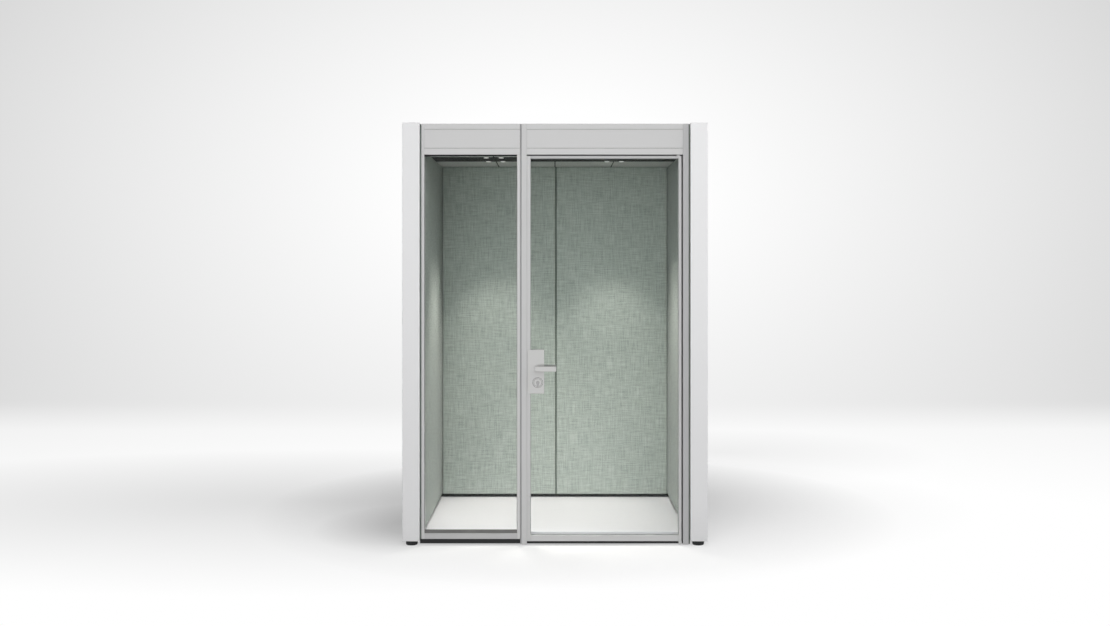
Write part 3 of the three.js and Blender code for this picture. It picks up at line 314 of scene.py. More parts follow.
class Recipe:
    """A node material in the making, with one Principled shader."""

    def __init__(self, name, settings):
        self.material = bpy.data.materials.new(name)
        self.material.use_nodes = True
        self.tree = self.material.node_tree
        self.tree.nodes.clear()
        self.shader = self.add("ShaderNodeBsdfPrincipled", settings)
        self.output = self.add("ShaderNodeOutputMaterial")
        self.join(self.shader.outputs["BSDF"], self.output.inputs["Surface"])

    def add(self, kind, inputs=None, **options):
        """Adds a node; an input may be a value or another node's output."""
        node = self.tree.nodes.new(kind)
        for key, value in options.items():
            setattr(node, key, value)
        for key, value in (inputs or {}).items():
            self.feed(node.inputs[key], value)
        return node

    def feed(self, socket, value):
        """Sets a socket to a value, or links it to an output."""
        if isinstance(value, bpy.types.NodeSocket):
            self.join(value, socket)
        elif socket.type == "RGBA":
            socket.default_value = (*tuple(value)[:3], 1.0)
        else:
            socket.default_value = value

    def join(self, output, socket):
        """Links an output to a socket."""
        self.tree.links.new(output, socket)

    def at(self, scale=(1, 1, 1), source="Object"):
        """The piece's own coordinates in metres, stretched by scale."""
        where = self.add("ShaderNodeTexCoord").outputs[source]
        return self.add("ShaderNodeMapping", {"Vector": where, "Scale": scale}).outputs["Vector"]

    def noise(self, vector, scale=1.0, detail=2.0):
        """Soft random values between 0 and 1."""
        inputs = {"Vector": vector, "Scale": scale, "Detail": detail}
        return self.add("ShaderNodeTexNoise", inputs).outputs["Fac"]

    def threads(self, vector, direction, pitch):
        """Round threads side by side, one every pitch."""
        inputs = {"Vector": vector, "Scale": math.pi / (10 * pitch), "Distortion": 1.2, "Detail": 1.0}
        options = {"wave_type": "BANDS", "bands_direction": direction}
        return self.add("ShaderNodeTexWave", inputs, **options).outputs["Fac"]

    def span(self, value, low, high, start=0.0, end=1.0):
        """A value moved from the range start to end into the range low to high."""
        inputs = {"Value": value, "From Min": start, "From Max": end, "To Min": low, "To Max": high}
        return self.add("ShaderNodeMapRange", inputs).outputs["Result"]

    def math(self, how, first, second):
        """Two values put together."""
        node = self.add("ShaderNodeMath", operation=how)
        self.feed(node.inputs[0], first)
        self.feed(node.inputs[1], second)
        return node.outputs[0]

    def blend(self, share, first, second, how="MIX"):
        """A colour between two colours."""
        node = self.add("ShaderNodeMix", data_type="RGBA", blend_type=how)
        for index, value in zip((0, 6, 7), (share, first, second)):
            self.feed(node.inputs[index], value)
        return node.outputs[2]

    def along(self, axis):
        """Each point's place along an axis of the frame."""
        where = self.add("ShaderNodeTexCoord").outputs["Object"]
        return self.add("ShaderNodeSeparateXYZ", {"Vector": where}).outputs[axis]

    def distance(self, middle, stretch):
        """Distance of each point from a middle, stretched along the axes."""
        away = self.add("ShaderNodeVectorMath", {0: self.at(), 1: middle}, operation="SUBTRACT").outputs[0]
        scaled = self.add("ShaderNodeVectorMath", {0: away, 1: stretch}, operation="MULTIPLY").outputs[0]
        return self.add("ShaderNodeVectorMath", {0: scaled}, operation="LENGTH").outputs["Value"]

    def paint(self, tint, rough, relief, depth, strength=0.3):
        """Links colour, roughness and relief to the shader and returns the material."""
        self.join(tint, self.shader.inputs["Base Color"])
        self.join(rough, self.shader.inputs["Roughness"])
        bump = self.add("ShaderNodeBump", {"Height": relief, "Distance": depth, "Strength": strength})
        self.join(bump.outputs["Normal"], self.shader.inputs["Normal"])
        return self.material


def wall_lacquer():
    """Matt lacquer with a fine orange peel, slightly dusty near the ground."""
    tint = finishes().lacquer
    recipe = Recipe("wall_lacquer", {"Specular IOR Level": 0.35})
    peel = recipe.noise(recipe.at(), 420, 3)
    cloud = recipe.blend(recipe.noise(recipe.at(), 1.3, 3), shade(tint, 0.975), shade(tint, 1.015))
    dusty = recipe.span(recipe.along("Z"), 0.35, 0.0, 0.02, 0.30)
    scuffs = recipe.math("MULTIPLY", dusty, recipe.noise(recipe.at((18, 18, 60)), 1, 4))
    return recipe.paint(recipe.blend(scuffs, cloud, shade(tint, 0.80)),
                        recipe.span(peel, 0.44, 0.58), peel, 0.0005, 0.12)


def brushed(name, tint, grain, metal, rough, painted_shadow=None):
    """Metal with fine lines along one direction: grain is the stretch of the lines. A painted shadow, given by its
    middle and its stretch, darkens the metal round that middle."""
    recipe = Recipe(name, {"Metallic": metal})
    lines = recipe.noise(recipe.at(grain), 1, 4)
    patches = recipe.noise(recipe.at(), 3.5, 2)
    tone = recipe.blend(lines, shade(tint, 0.93), shade(tint, 1.05))
    worn = recipe.blend(recipe.span(patches, 0.0, 0.25), tone, shade(tint, 0.9))
    if painted_shadow:
        # painted shadow: the metal darkens towards its middle
        shadow_share = recipe.span(recipe.distance(*painted_shadow), 0.55, 0.0, 0.62, 1.0)
        worn = recipe.blend(shadow_share, worn, shade(tint, 0.35))
    return recipe.paint(worn, recipe.span(lines, rough, rough + 0.14), lines, 0.0002, 0.10)


UPRIGHT_GRAIN = (700, 700, 4)
LEVEL_GRAIN = (4, 700, 700)
FRAME_METAL = 0.45


def frame_upright():
    """Anodised aluminium, lines running up."""
    return brushed("frame_upright", finishes().aluminium, UPRIGHT_GRAIN, FRAME_METAL, 0.42)


def frame_level():
    """Anodised aluminium, lines running across."""
    return brushed("frame_level", finishes().aluminium, LEVEL_GRAIN, FRAME_METAL, 0.42)


def door_upright():
    """Anodised aluminium of the door's stiles."""
    return brushed("door_upright", finishes().door_aluminium, UPRIGHT_GRAIN, FRAME_METAL, 0.40)


def door_level():
    """Anodised aluminium of the door's rails."""
    return brushed("door_level", finishes().door_aluminium, LEVEL_GRAIN, FRAME_METAL, 0.40)


def sill_level():
    """Anodised aluminium of the sill, darker as painted shade."""
    return brushed("sill_level", finishes().sill_aluminium, LEVEL_GRAIN, FRAME_METAL, 0.42)


def jamb_upright():
    """Anodised aluminium of the jamb beside the door, darker as painted shade."""
    return brushed("jamb_upright", finishes().jamb_aluminium, UPRIGHT_GRAIN, FRAME_METAL, 0.42)


def jamb_level():
    """Anodised aluminium of the door's top rail, darker as painted shade."""
    return brushed("jamb_level", finishes().jamb_aluminium, LEVEL_GRAIN, FRAME_METAL, 0.42)


def satin_steel():
    """Satin stainless steel, lines running across."""
    return brushed("satin_steel", finishes().steel, (9, 900, 900), 0.30, 0.32)


def plate_steel():
    """Satin steel of the outer lock plate, with a painted shadow of the lever darkening it round the lever."""
    low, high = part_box("lever_outer")
    # middle of the lever's painted shadow on the plate, a little left of and above the lever
    middle = Vector(((low.x + high.x) / 2 - 0.020, 0.0, (low.z + high.z) / 2 + 0.006))
    return brushed("plate_steel", finishes().steel, (9, 900, 900), 0.30, 0.32, (middle, (17, 0, 37)))


def lever_steel():
    """Fine satin steel of the outer lever."""
    return brushed("lever_steel", shade(finishes().steel, 1.02), (9, 900, 900), 0.60, 0.24)


def cylinder_steel():
    """Grey satin steel of the key cylinder."""
    return brushed("cylinder_steel", shade(finishes().inner_steel, 1.5), (9, 900, 900), 0.30, 0.36)


def inner_steel():
    """Satin steel, lines running across, darker as painted shade."""
    return brushed("inner_steel", finishes().inner_steel, (9, 900, 900), 0.30, 0.36)


def linen(name, tint, pitch, contrast, painted_back_shade=0.0):
    """Linen-look cloth: fine threads both ways, with thick slubs and their colour along warp and weft.
    With a painted back shade share, the cloth gets painted shade that deepens towards the back of the pod."""
    recipe = Recipe(name, {"Sheen Weight": 0.12, "Sheen Roughness": 0.5, "Specular IOR Level": 0.2})
    cloth = recipe.at(source="UV")
    weft_slubs = recipe.noise(recipe.at((11, 125, 1), "UV"), 1, 2.5)
    warp_slubs = recipe.noise(recipe.at((125, 9, 1), "UV"), 1, 2.5)
    slubs = recipe.math("ADD", weft_slubs, warp_slubs)
    weave = recipe.math("MULTIPLY", recipe.threads(cloth, "X", pitch), recipe.threads(cloth, "Y", pitch))
    tone = recipe.span(slubs, 0.0, 1.0, 0.72, 1.28)
    yarn = recipe.blend(tone, shade(tint, 1 - contrast), shade(tint, 1 + contrast))
    fleck = recipe.span(recipe.noise(recipe.at((60, 420, 1), "UV"), 1, 2), 0.0, 0.30, 0.52, 0.70)
    mixed = recipe.blend(fleck, yarn, shade(tint, 1.16))
    woven = recipe.blend(recipe.span(weave, 0.30, 0.0), mixed, shade(tint, 0.62))
    if painted_back_shade:
        # painted shade: the cloth darkens towards the back of the pod
        woven = recipe.blend(recipe.span(recipe.along("Y"), 0.0, painted_back_shade, 0.1, 0.8), woven, shade(tint, 0.0))
    relief = recipe.math("ADD", weave, recipe.math("MULTIPLY", slubs, 0.8))
    return recipe.paint(woven, recipe.span(slubs, 0.96, 0.82, 0.6, 1.4), relief, 0.0006, 0.45)


def sage_linen():
    """Sage green linen of the walls."""
    return linen("sage_linen", finishes().sage, 0.0026, 0.26)


def side_linen():
    """The same linen on the side walls: darker all over as painted shade, with painted shade deepening towards the
    back.
    """
    # 0.77 darkens the whole cloth as painted shade; 0.26 is the share of painted shade at the back
    return linen("side_linen", shade(finishes().sage, 0.77), 0.0026, 0.26, 0.26)


def ceiling_cloth():
    """Grey-green woven cloth of the ceiling."""
    return linen("ceiling_cloth", finishes().ceiling, 0.0022, 0.08)


def front_ceiling_cloth():
    """The same cloth on the ceiling panel by the front, made lighter as painted light."""
    # 1.6: the front pads' cloth is lighter as painted light
    return linen("front_ceiling_cloth", shade(finishes().ceiling, 1.6), 0.0022, 0.08)


def floor_laminate():
    """White satin laminate with a faint print and a fine grain."""
    tint = finishes().floor
    recipe = Recipe("floor_laminate", {"Coat Weight": 0.12, "Coat Roughness": 0.25})
    figure = recipe.noise(recipe.at((5, 60, 5)), 1, 4)
    grain = recipe.noise(recipe.at(), 520, 2)
    tone = recipe.blend(figure, shade(tint, 0.965), shade(tint, 1.02))
    return recipe.paint(tone, recipe.span(grain, 0.28, 0.42), grain, 0.0002, 0.08)


def grained(name, tint, grain, rough, depth):
    """Coat or moulding with a fine all-over texture, greyer where it is rubbed."""
    recipe = Recipe(name, {"Specular IOR Level": 0.4})
    texture = recipe.noise(recipe.at(), grain, 3)
    rubbed = recipe.span(recipe.noise(recipe.at(), 9, 3), 0.0, 0.5, 0.45, 0.75)
    tone = recipe.blend(texture, shade(tint, 0.75), shade(tint, 1.3))
    worn = recipe.blend(rubbed, tone, shade(tint, 1.6))
    return recipe.paint(worn, recipe.span(texture, rough, rough + 0.16), texture, depth, 0.35)


def black_coat():
    """Fine black powder coat."""
    return grained("black_coat", finishes().black, 1500, 0.50, 0.0003)


def foot_plastic():
    """Black moulded plastic."""
    return grained("foot_plastic", finishes().foot, 800, 0.55, 0.0004)


def strip_black():
    """Matt black coat of the service strip."""
    return grained("strip_black", finishes().strip, 1500, 0.75, 0.0003)


def grey_rubber():
    """Dark grey extruded rubber."""
    return grained("grey_rubber", finishes().rubber, 600, 0.62, 0.0003)


def pane_gasket():
    """Pale grey extruded gasket."""
    return grained("pane_gasket", finishes().pane_gasket, 600, 0.62, 0.0003)


def edge_seal():
    """Grey-green extruded seal."""
    return grained("edge_seal", finishes().edge_seal, 600, 0.62, 0.0003)


def dark_felt():
    """Dark fleece with a fibrous surface."""
    return grained("dark_felt", finishes().felt, 260, 0.80, 0.0015)


def clear_glass():
    """Clear laminated glass that lets lamp light through."""
    tint = finishes().glass
    recipe = Recipe("clear_glass", {"Roughness": 0.0, "IOR": 1.12, "Transmission Weight": 1.0})
    film = recipe.noise(recipe.at(), 0.8, 2)
    recipe.join(recipe.blend(film, shade(tint, 0.985), tint), recipe.shader.inputs["Base Color"])
    path = recipe.add("ShaderNodeLightPath")
    unseen = recipe.math("MAXIMUM", path.outputs["Is Shadow Ray"], path.outputs["Is Diffuse Ray"])
    clear = recipe.add("ShaderNodeBsdfTransparent", {"Color": tint})
    mixed = recipe.add("ShaderNodeMixShader", {"Fac": unseen})
    recipe.join(recipe.shader.outputs["BSDF"], mixed.inputs[1])
    recipe.join(clear.outputs["BSDF"], mixed.inputs[2])
    recipe.join(mixed.outputs["Shader"], recipe.output.inputs["Surface"])
    return recipe.material


def lamp_lens():
    """Lit lens with small facets."""
    warm = srgb(255, 250, 242)
    recipe = Recipe("lamp_lens", {"Emission Color": warm, "Emission Strength": 1.6})
    facets = recipe.add("ShaderNodeTexVoronoi", {"Vector": recipe.at(), "Scale": 520}).outputs["Distance"]
    tone = recipe.blend(facets, warm, shade(warm, 0.8))
    return recipe.paint(tone, recipe.span(facets, 0.15, 0.3), facets, 0.0006, 0.4)


def lamp_metal():
    """Pale satin coat of the lamp heads, with a painted glow in its own colour."""
    material = brushed("lamp_metal", finishes().lamp, (120, 120, 900), 0.1, 0.35)
    shader = material.node_tree.nodes["Principled BSDF"]
    # painted glow: the coat glows a little, as if lit, though it is no lamp
    shader.inputs["Emission Color"].default_value = (*finishes().lamp, 1.0)
    shader.inputs["Emission Strength"].default_value = 0.35
    return material


FINISHES = {}


def finish(make):
    """The material of a finish, made once."""
    if make not in FINISHES:
        FINISHES[make] = make()
    return FINISHES[make]


class Pattern:
    """A Geometry Nodes tree in the making: named inputs, then what is put on each point."""

    def __init__(self, name):
        self.tree = bpy.data.node_groups.new(name, "GeometryNodeTree")
        self.tree.interface.new_socket("Points", in_out="INPUT", socket_type="NodeSocketGeometry")
        self.tree.interface.new_socket("Mesh", in_out="OUTPUT", socket_type="NodeSocketGeometry")
        self.start = self.tree.nodes.new("NodeGroupInput")
        self.end = self.tree.nodes.new("NodeGroupOutput")
        self.values = {}

    def ask(self, name, value, kind="NodeSocketFloat"):
        """Adds a named input and returns its output in the tree."""
        socket = self.tree.interface.new_socket(name, in_out="INPUT", socket_type=kind)
        self.values[socket.identifier] = value
        return self.start.outputs[name]

    def add(self, kind, inputs=None, **options):
        """Adds a node; an input may be a value or another node's output."""
        node = self.tree.nodes.new(kind)
        for key, value in options.items():
            setattr(node, key, value)
        for key, value in (inputs or {}).items():
            if isinstance(value, bpy.types.NodeSocket):
                self.tree.links.new(value, node.inputs[key])
            else:
                node.inputs[key].default_value = value
        return node

    def painted(self, geometry, material):
        """The geometry with a finish."""
        return self.add("GeometryNodeSetMaterial", {"Geometry": geometry, "Material": material}).outputs[0]

    def joined(self, *parts):
        """Several geometries as one."""
        node = self.add("GeometryNodeJoinGeometry")
        for part in parts:
            self.tree.links.new(part, node.inputs[0])
        return node.outputs[0]

    def moved(self, geometry, **place):
        """The geometry moved, turned or stretched."""
        inputs = {"Geometry": geometry, **{key.title(): value for key, value in place.items()}}
        return self.add("GeometryNodeTransform", inputs).outputs[0]

    def on_points(self, shape, turn=None):
        """A copy of the shape on each point, as real geometry, led to the output."""
        inputs = {"Points": self.start.outputs["Points"], "Instance": shape}
        if turn is not None:
            inputs["Rotation"] = turn
        copies = self.add("GeometryNodeInstanceOnPoints", inputs).outputs[0]
        self.finish(self.add("GeometryNodeRealizeInstances", {"Geometry": copies}).outputs[0])

    def finish(self, geometry):
        """Leads the geometry to the output."""
        self.tree.links.new(geometry, self.end.inputs[0])


def grow(name, pattern, points, body, slot, nodes=()):
    """A piece that a pattern makes on points, turned into a plain mesh."""
    mesh = bpy.data.meshes.new(name)
    mesh.from_pydata([tuple(point) for point in points], [], [])
    obj = bpy.data.objects.new(name, mesh)
    bpy.context.scene.collection.objects.link(obj)
    modifier = obj.modifiers.new("Pattern", "NODES")
    modifier.node_group = pattern.tree
    for identifier, value in pattern.values.items():
        modifier[identifier] = value
    settle(obj)
    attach(obj, body)
    if nodes:
        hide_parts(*nodes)
    return obj


def screw_pattern(material, dark, turn):
    """Round screw heads with a cross slot; turn brings their own +Z to face out."""
    pattern = Pattern("screw_heads")
    radius = pattern.ask("Head radius", sizes().screw / 2)
    height = pattern.ask("Head height", sizes().screw * 0.28)
    half = pattern.add("ShaderNodeMath", {0: radius, 1: 0.62}, operation="MULTIPLY").outputs[0]
    head = pattern.add("GeometryNodeMeshCone", {"Vertices": 24, "Radius Top": half, "Radius Bottom": radius,
                                                "Depth": height, "Side Segments": 1}).outputs["Mesh"]
    slot_size = pattern.add("ShaderNodeCombineXYZ", {"X": radius, "Y": 0.0011, "Z": 0.0006}).outputs[0]
    bar = pattern.add("GeometryNodeMeshCube", {"Size": slot_size}).outputs["Mesh"]
    lift = pattern.add("ShaderNodeCombineXYZ", {"Z": height}).outputs[0]
    cross = pattern.joined(pattern.moved(bar, translation=lift),
                           pattern.moved(bar, translation=lift, rotation=(0, 0, math.pi / 2)))
    shape = pattern.joined(pattern.painted(head, material), pattern.painted(cross, dark))
    pattern.on_points(shape, turn)
    return pattern


def lamp_pattern(metal, lens):
    """Downlight heads: a rounded ring and a lit lens set into it."""
    pattern = Pattern("lamp_heads")
    radius = pattern.ask("Ring radius", 0.0138)
    thick = pattern.ask("Ring thickness", 0.0030)
    lens_radius = pattern.ask("Lens radius", 0.0108)
    path = pattern.add("GeometryNodeCurvePrimitiveCircle", {"Resolution": 40, "Radius": radius}).outputs[0]
    section = pattern.add("GeometryNodeCurvePrimitiveCircle", {"Resolution": 12, "Radius": thick}).outputs[0]
    ring = pattern.add("GeometryNodeCurveToMesh", {"Curve": path, "Profile Curve": section}).outputs[0]
    ball = pattern.add("GeometryNodeMeshUVSphere", {"Segments": 28, "Rings": 12, "Radius": lens_radius}).outputs[0]
    dome = pattern.moved(ball, scale=(1, 1, 0.28), translation=(0, 0, 0.0012))
    pattern.on_points(pattern.joined(pattern.painted(ring, metal), pattern.painted(dome, lens)))
    return pattern


def rib_pattern(material):
    """Upright grip ribs in a ring round each point."""
    pattern = Pattern("foot_ribs")
    count = pattern.ask("Ribs", sizes().foot_ribs, "NodeSocketInt")
    ring_radius = pattern.ask("Ring radius", 0.0358)
    rib_radius = pattern.ask("Rib radius", 0.0014)
    height = pattern.ask("Rib height", 0.016)
    ring = pattern.add("GeometryNodeMeshCircle", {"Vertices": count, "Radius": ring_radius}).outputs[0]
    rib = pattern.add("GeometryNodeMeshCylinder", {"Vertices": 8, "Radius": rib_radius, "Depth": height}).outputs["Mesh"]
    around = pattern.add("GeometryNodeInstanceOnPoints", {"Points": ring, "Instance": rib}).outputs[0]
    whole = pattern.add("GeometryNodeRealizeInstances", {"Geometry": around}).outputs[0]
    pattern.on_points(pattern.painted(whole, material))
    return pattern


def pin_pattern(material):
    """Flat contact pins that stand out of a socket along -Y."""
    pattern = Pattern("contact_pins")
    size = pattern.ask("Pin size", (0.004, 0.006, 0.002), "NodeSocketVector")
    pin = pattern.add("GeometryNodeMeshCube", {"Size": size}).outputs["Mesh"]
    pattern.on_points(pattern.painted(pin, material))
    return pattern


PAD_STEPS = 6
PAD_SPACING = 0.06
PAD_WAVE = 0.0004
FRAME_BODY = "enclosure"
DOOR_BODY = "door"

# Widths of the door leaf's members and of the lock's parts, as the frame has them
DOOR_STILE = 0.020
DOOR_TOP_RAIL = 0.015
DOOR_BOTTOM_RAIL = 0.046
ROSE_RADIUS = 0.031
ROSE_PROUD = 0.003
LEVER_DEPTH = 0.012
LEVER_HEIGHT = 0.032
LEVER_ROOT = 0.018
LEVER_TIP = 0.005
NECK_RADIUS = 0.009
LAMP_SPREAD = 0.050
CEILING_JOINT = 0.410
CEILING_GAP = 0.007
CORNER_GAP = 0.005
JOINT_DEPTH = 0.012
FOOT_TRIM = 0.003
GROOVE_DEPTH = 0.003
REBATE_DEPTH = 0.018
CEILING_DEPTH = 0.004
HEAD_BEAD = 0.0095
LIP_WIDTH = 0.0024
LIP_SETBACK = 0.001
SEAL_SETBACK = 0.0056
SEAL_RELIEF = 0.018
STEM_RADIUS = 0.008


def pad_stations(total, radius):
    """Places along one side of a pad: close together round the edges, even between them."""
    bend = [radius * (1 - math.cos(math.pi / 2 * i / PAD_STEPS)) for i in range(PAD_STEPS)]
    count = max(2, round((total - 2 * radius) / PAD_SPACING))
    middle = [radius + (total - 2 * radius) * i / count for i in range(count + 1)]
    return bend + middle + [total - place for place in reversed(bend)]


def add_pad(shape, low, high, across, up, radius, crown):
    """Adds a cloth-covered board: a crowned face with rounded edges that looks along across x up."""
    facing = across.cross(up)
    corner = Vector(low[i] if (across + up + facing)[i] > 0 else high[i] for i in range(3))
    size = Vector(high) - Vector(low)
    width, rise, thick = (abs(size.dot(axis)) for axis in (across, up, facing))
    layer = shape.loops.layers.uv.verify()
    us, vs = pad_stations(width, radius), pad_stations(rise, radius)
    cloth = {}

    def point(u, v, height, spread=0.0):
        vert = shape.verts.new(corner + across * u + up * v + facing * height)
        side_u = spread * ((u == us[-1]) - (u == us[0]))
        side_v = spread * ((v == vs[-1]) - (v == vs[0]))
        cloth[vert] = (corner.dot(across) + u + side_u, corner.dot(up) + v + side_v)
        return vert

    def face_height(u, v):
        edge = min(u, width - u, v, rise - v)
        drop = radius - math.sqrt(max(0.0, radius ** 2 - max(0.0, radius - edge) ** 2))
        swell = crown * (1 - (2 * u / width - 1) ** 4) * (1 - (2 * v / rise - 1) ** 4)
        wave = PAD_WAVE * noise.noise(corner * 3 + Vector((u * 2.5, v * 2.5, 0.0))) * min(1.0, edge / radius)
        return thick - crown - PAD_WAVE - drop + swell + wave

    front = [[point(u, v, face_height(u, v)) for u in us] for v in vs]
    made = []
    for j in range(len(vs) - 1):
        for i in range(len(us) - 1):
            made.append(shape.faces.new([front[j][i], front[j][i + 1], front[j + 1][i + 1], front[j + 1][i]]))
    last_u, last_v = len(us) - 1, len(vs) - 1
    ring = [(0, i) for i in range(last_u)] + [(j, last_u) for j in range(last_v)]
    ring += [(last_v, i) for i in range(last_u, 0, -1)] + [(j, 0) for j in range(last_v, 0, -1)]
    rim = [front[j][i] for j, i in ring]
    back = [point(us[i], vs[j], 0.0, thick) for j, i in ring]
    for k in range(len(ring)):
        n = (k + 1) % len(ring)
        made.append(shape.faces.new([rim[n], rim[k], back[k], back[n]]))
    made.append(shape.faces.new(back[::-1]))
    for face in made:
        for loop in face.loops:
            loop[layer].uv = cloth[loop.vert]


class PodOperator:
    """What the pod's operators share: each makes its pieces in build and fails loudly."""

    bl_options = {"REGISTER", "UNDO"}

    def execute(self, context):
        self.build(context)
        return {"FINISHED"}


class POD_OT_walls(PodOperator, bpy.types.Operator):
    """Side walls, back wall and roof with rounded edges, and the absorbers inside them"""

    bl_idname = "pod.walls"
    bl_label = "Walls and roof"

    def build(self, context):
        for node in ("left_wall_shell", "right_wall_shell", "back_wall_shell", "roof_panel"):
            shape = solid_copy(node)
            round_edges(shape, sizes().wall_round, on_hull(*edges_of(node)))
            add_piece(f"{node}_lacquered", shape, [finish(wall_lacquer)], FRAME_BODY, [node])
        dress(finish(dark_felt), "left_wall_core", "right_wall_core", "back_wall_core", "roof_core")


class POD_OT_linings(PodOperator, bpy.types.Operator):
    """Cloth-covered wall linings with rounded, slightly crowned faces"""

    bl_idname = "pod.linings"
    bl_label = "Wall linings"

    def build(self, context):
        up = Vector((0, 0, 1))
        rows = (("left_lining", (0, 1, 0)), ("right_lining", (0, -1, 0)),
                ("back_lining_left", (1, 0, 0)), ("back_lining_right", (1, 0, 0)))
        for node, across in rows:
            low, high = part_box(node)
            if across[1]:
                high.y -= CORNER_GAP
            shape = bmesh.new()
            add_pad(shape, low, high, Vector(across), up, sizes().pad_round, sizes().pad_crown)
            # side linings take the cloth with painted shade
            cloth = finish(side_linen if across[1] else sage_linen)
            pad = add_piece(f"{node}_pad", shape, [cloth], FRAME_BODY, [node])
        self.joint_strip()

    def joint_strip(self):
        """Grey-green strip at the bottom of the open joint between the two back linings."""
        left_low, left_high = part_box("back_lining_left")
        right_low, right_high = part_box("back_lining_right")
        shape = bmesh.new()
        add_block(shape, (left_high.x, left_low.y + JOINT_DEPTH, left_low.z),
                  (right_low.x, left_high.y, left_high.z))
        add_piece("back_joint_strip", shape, [finish(edge_seal)], FRAME_BODY, smooth=False)


class POD_OT_ceiling(PodOperator, bpy.types.Operator):
    """Ceiling pads with their joints, the service strip, and the downlight heads in it"""

    bl_idname = "pod.ceiling"
    bl_label = "Ceiling"

    def build(self, context):
        edges = (-CEILING_JOINT, 0.0, CEILING_JOINT)
        for node in ("ceiling_front_panel", "ceiling_rear_panel"):
            low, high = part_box(node)
            starts = [low.x] + [edge + CEILING_GAP / 2 for edge in edges]
            stops = [edge - CEILING_GAP / 2 for edge in edges] + [high.x]
            shape = bmesh.new()
            for start, stop in zip(starts, stops):
                add_pad(shape, (start, low.y, low.z), (stop, high.y, high.z), Vector((-1, 0, 0)),
                        Vector((0, 1, 0)), sizes().pad_round / 2, sizes().pad_crown / 2)
            # the front pads take the cloth lightened as painted light
            cloth = finish(front_ceiling_cloth if "front" in node else ceiling_cloth)
            pad = add_piece(f"{node}_pads", shape, [cloth], FRAME_BODY, [node])
            strips = bmesh.new()
            for edge in edges:
                add_block(strips, (edge - CEILING_GAP / 2, low.y, low.z + CEILING_DEPTH),
                          (edge + CEILING_GAP / 2, high.y, high.z))
            add_piece(f"{node}_joints", strips, [finish(dark_felt)], FRAME_BODY, smooth=False)
        dress(finish(strip_black), "ceiling_service_strip")
        lamps = [f"downlight_{end}_{side}" for end in ENDS for side in SIDES]
        # the lamp housings carry the painted glow of lamp_metal
        dress(finish(lamp_metal), *lamps)
        heads = [Vector((x, y, z + 0.002)) for x, y, z in lamp_heads()]
        grow("downlight_heads", lamp_pattern(finish(lamp_metal), finish(lamp_lens)), heads,
             FRAME_BODY, "lamp_housing")


def lamp_heads():
    """Middle of the underside of each of the eight lamp heads."""
    heads = []
    for end in ENDS:
        for side in SIDES:
            low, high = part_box(f"downlight_{end}_{side}")
            middle = (low + high) / 2
            heads += [Vector((middle.x + reach, middle.y, low.z)) for reach in (-LAMP_SPREAD, LAMP_SPREAD)]
    return heads


class POD_OT_floor(PodOperator, bpy.types.Operator):
    """White floor, its deck and the dark skirting under the linings"""

    bl_idname = "pod.floor"
    bl_label = "Floor"

    def build(self, context):
        dress(finish(floor_laminate), "floor_panel")
        dress(finish(black_coat), "base_deck")
        dress(finish(foot_plastic), "skirting")


class POD_OT_front(PodOperator, bpy.types.Operator):
    """Aluminium profiles of the fixed front, with softened front edges, on their black plinth"""

    bl_idname = "pod.front"
    bl_label = "Front profiles"

    def build(self, context):
        # the right jamb and the sill take aluminium darkened as painted shade
        rows = ((frame_upright, ("fixed_stile",)), (door_upright, ("left_jamb", "mullion")),
                (jamb_upright, ("right_jamb",)), (frame_level, ("header_left", "header_right")), (sill_level, ("fixed_sill",)))
        for made, nodes in rows:
            for node in nodes:
                self.profile(node, finish(made), "silver_aluminium")
        for node in ("fixed_bay_plinth", "door_threshold"):
            self.profile(node, finish(black_coat), "plinth_black")

    def profile(self, node, material, slot):
        """A profile with softened front edges; the floor of a groove in its face takes a darker finish as painted
        shade.
        """
        shape = solid_copy(node)
        low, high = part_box(node)
        for face in shape.faces:
            depth = face.calc_center_median().y - low.y
            # painted shade: groove floors take the paler gasket's grey or the darker sill aluminium
            if face.normal.y < -0.9 and WELD < depth < REBATE_DEPTH:
                face.material_index = 1 if depth < GROOVE_DEPTH else 2
        round_edges(shape, sizes().profile_round, before(low.y + WELD))
        tones = [material, finish(pane_gasket), finish(sill_level)]
        add_piece(f"{node}_profile", shape, tones, FRAME_BODY, [node])


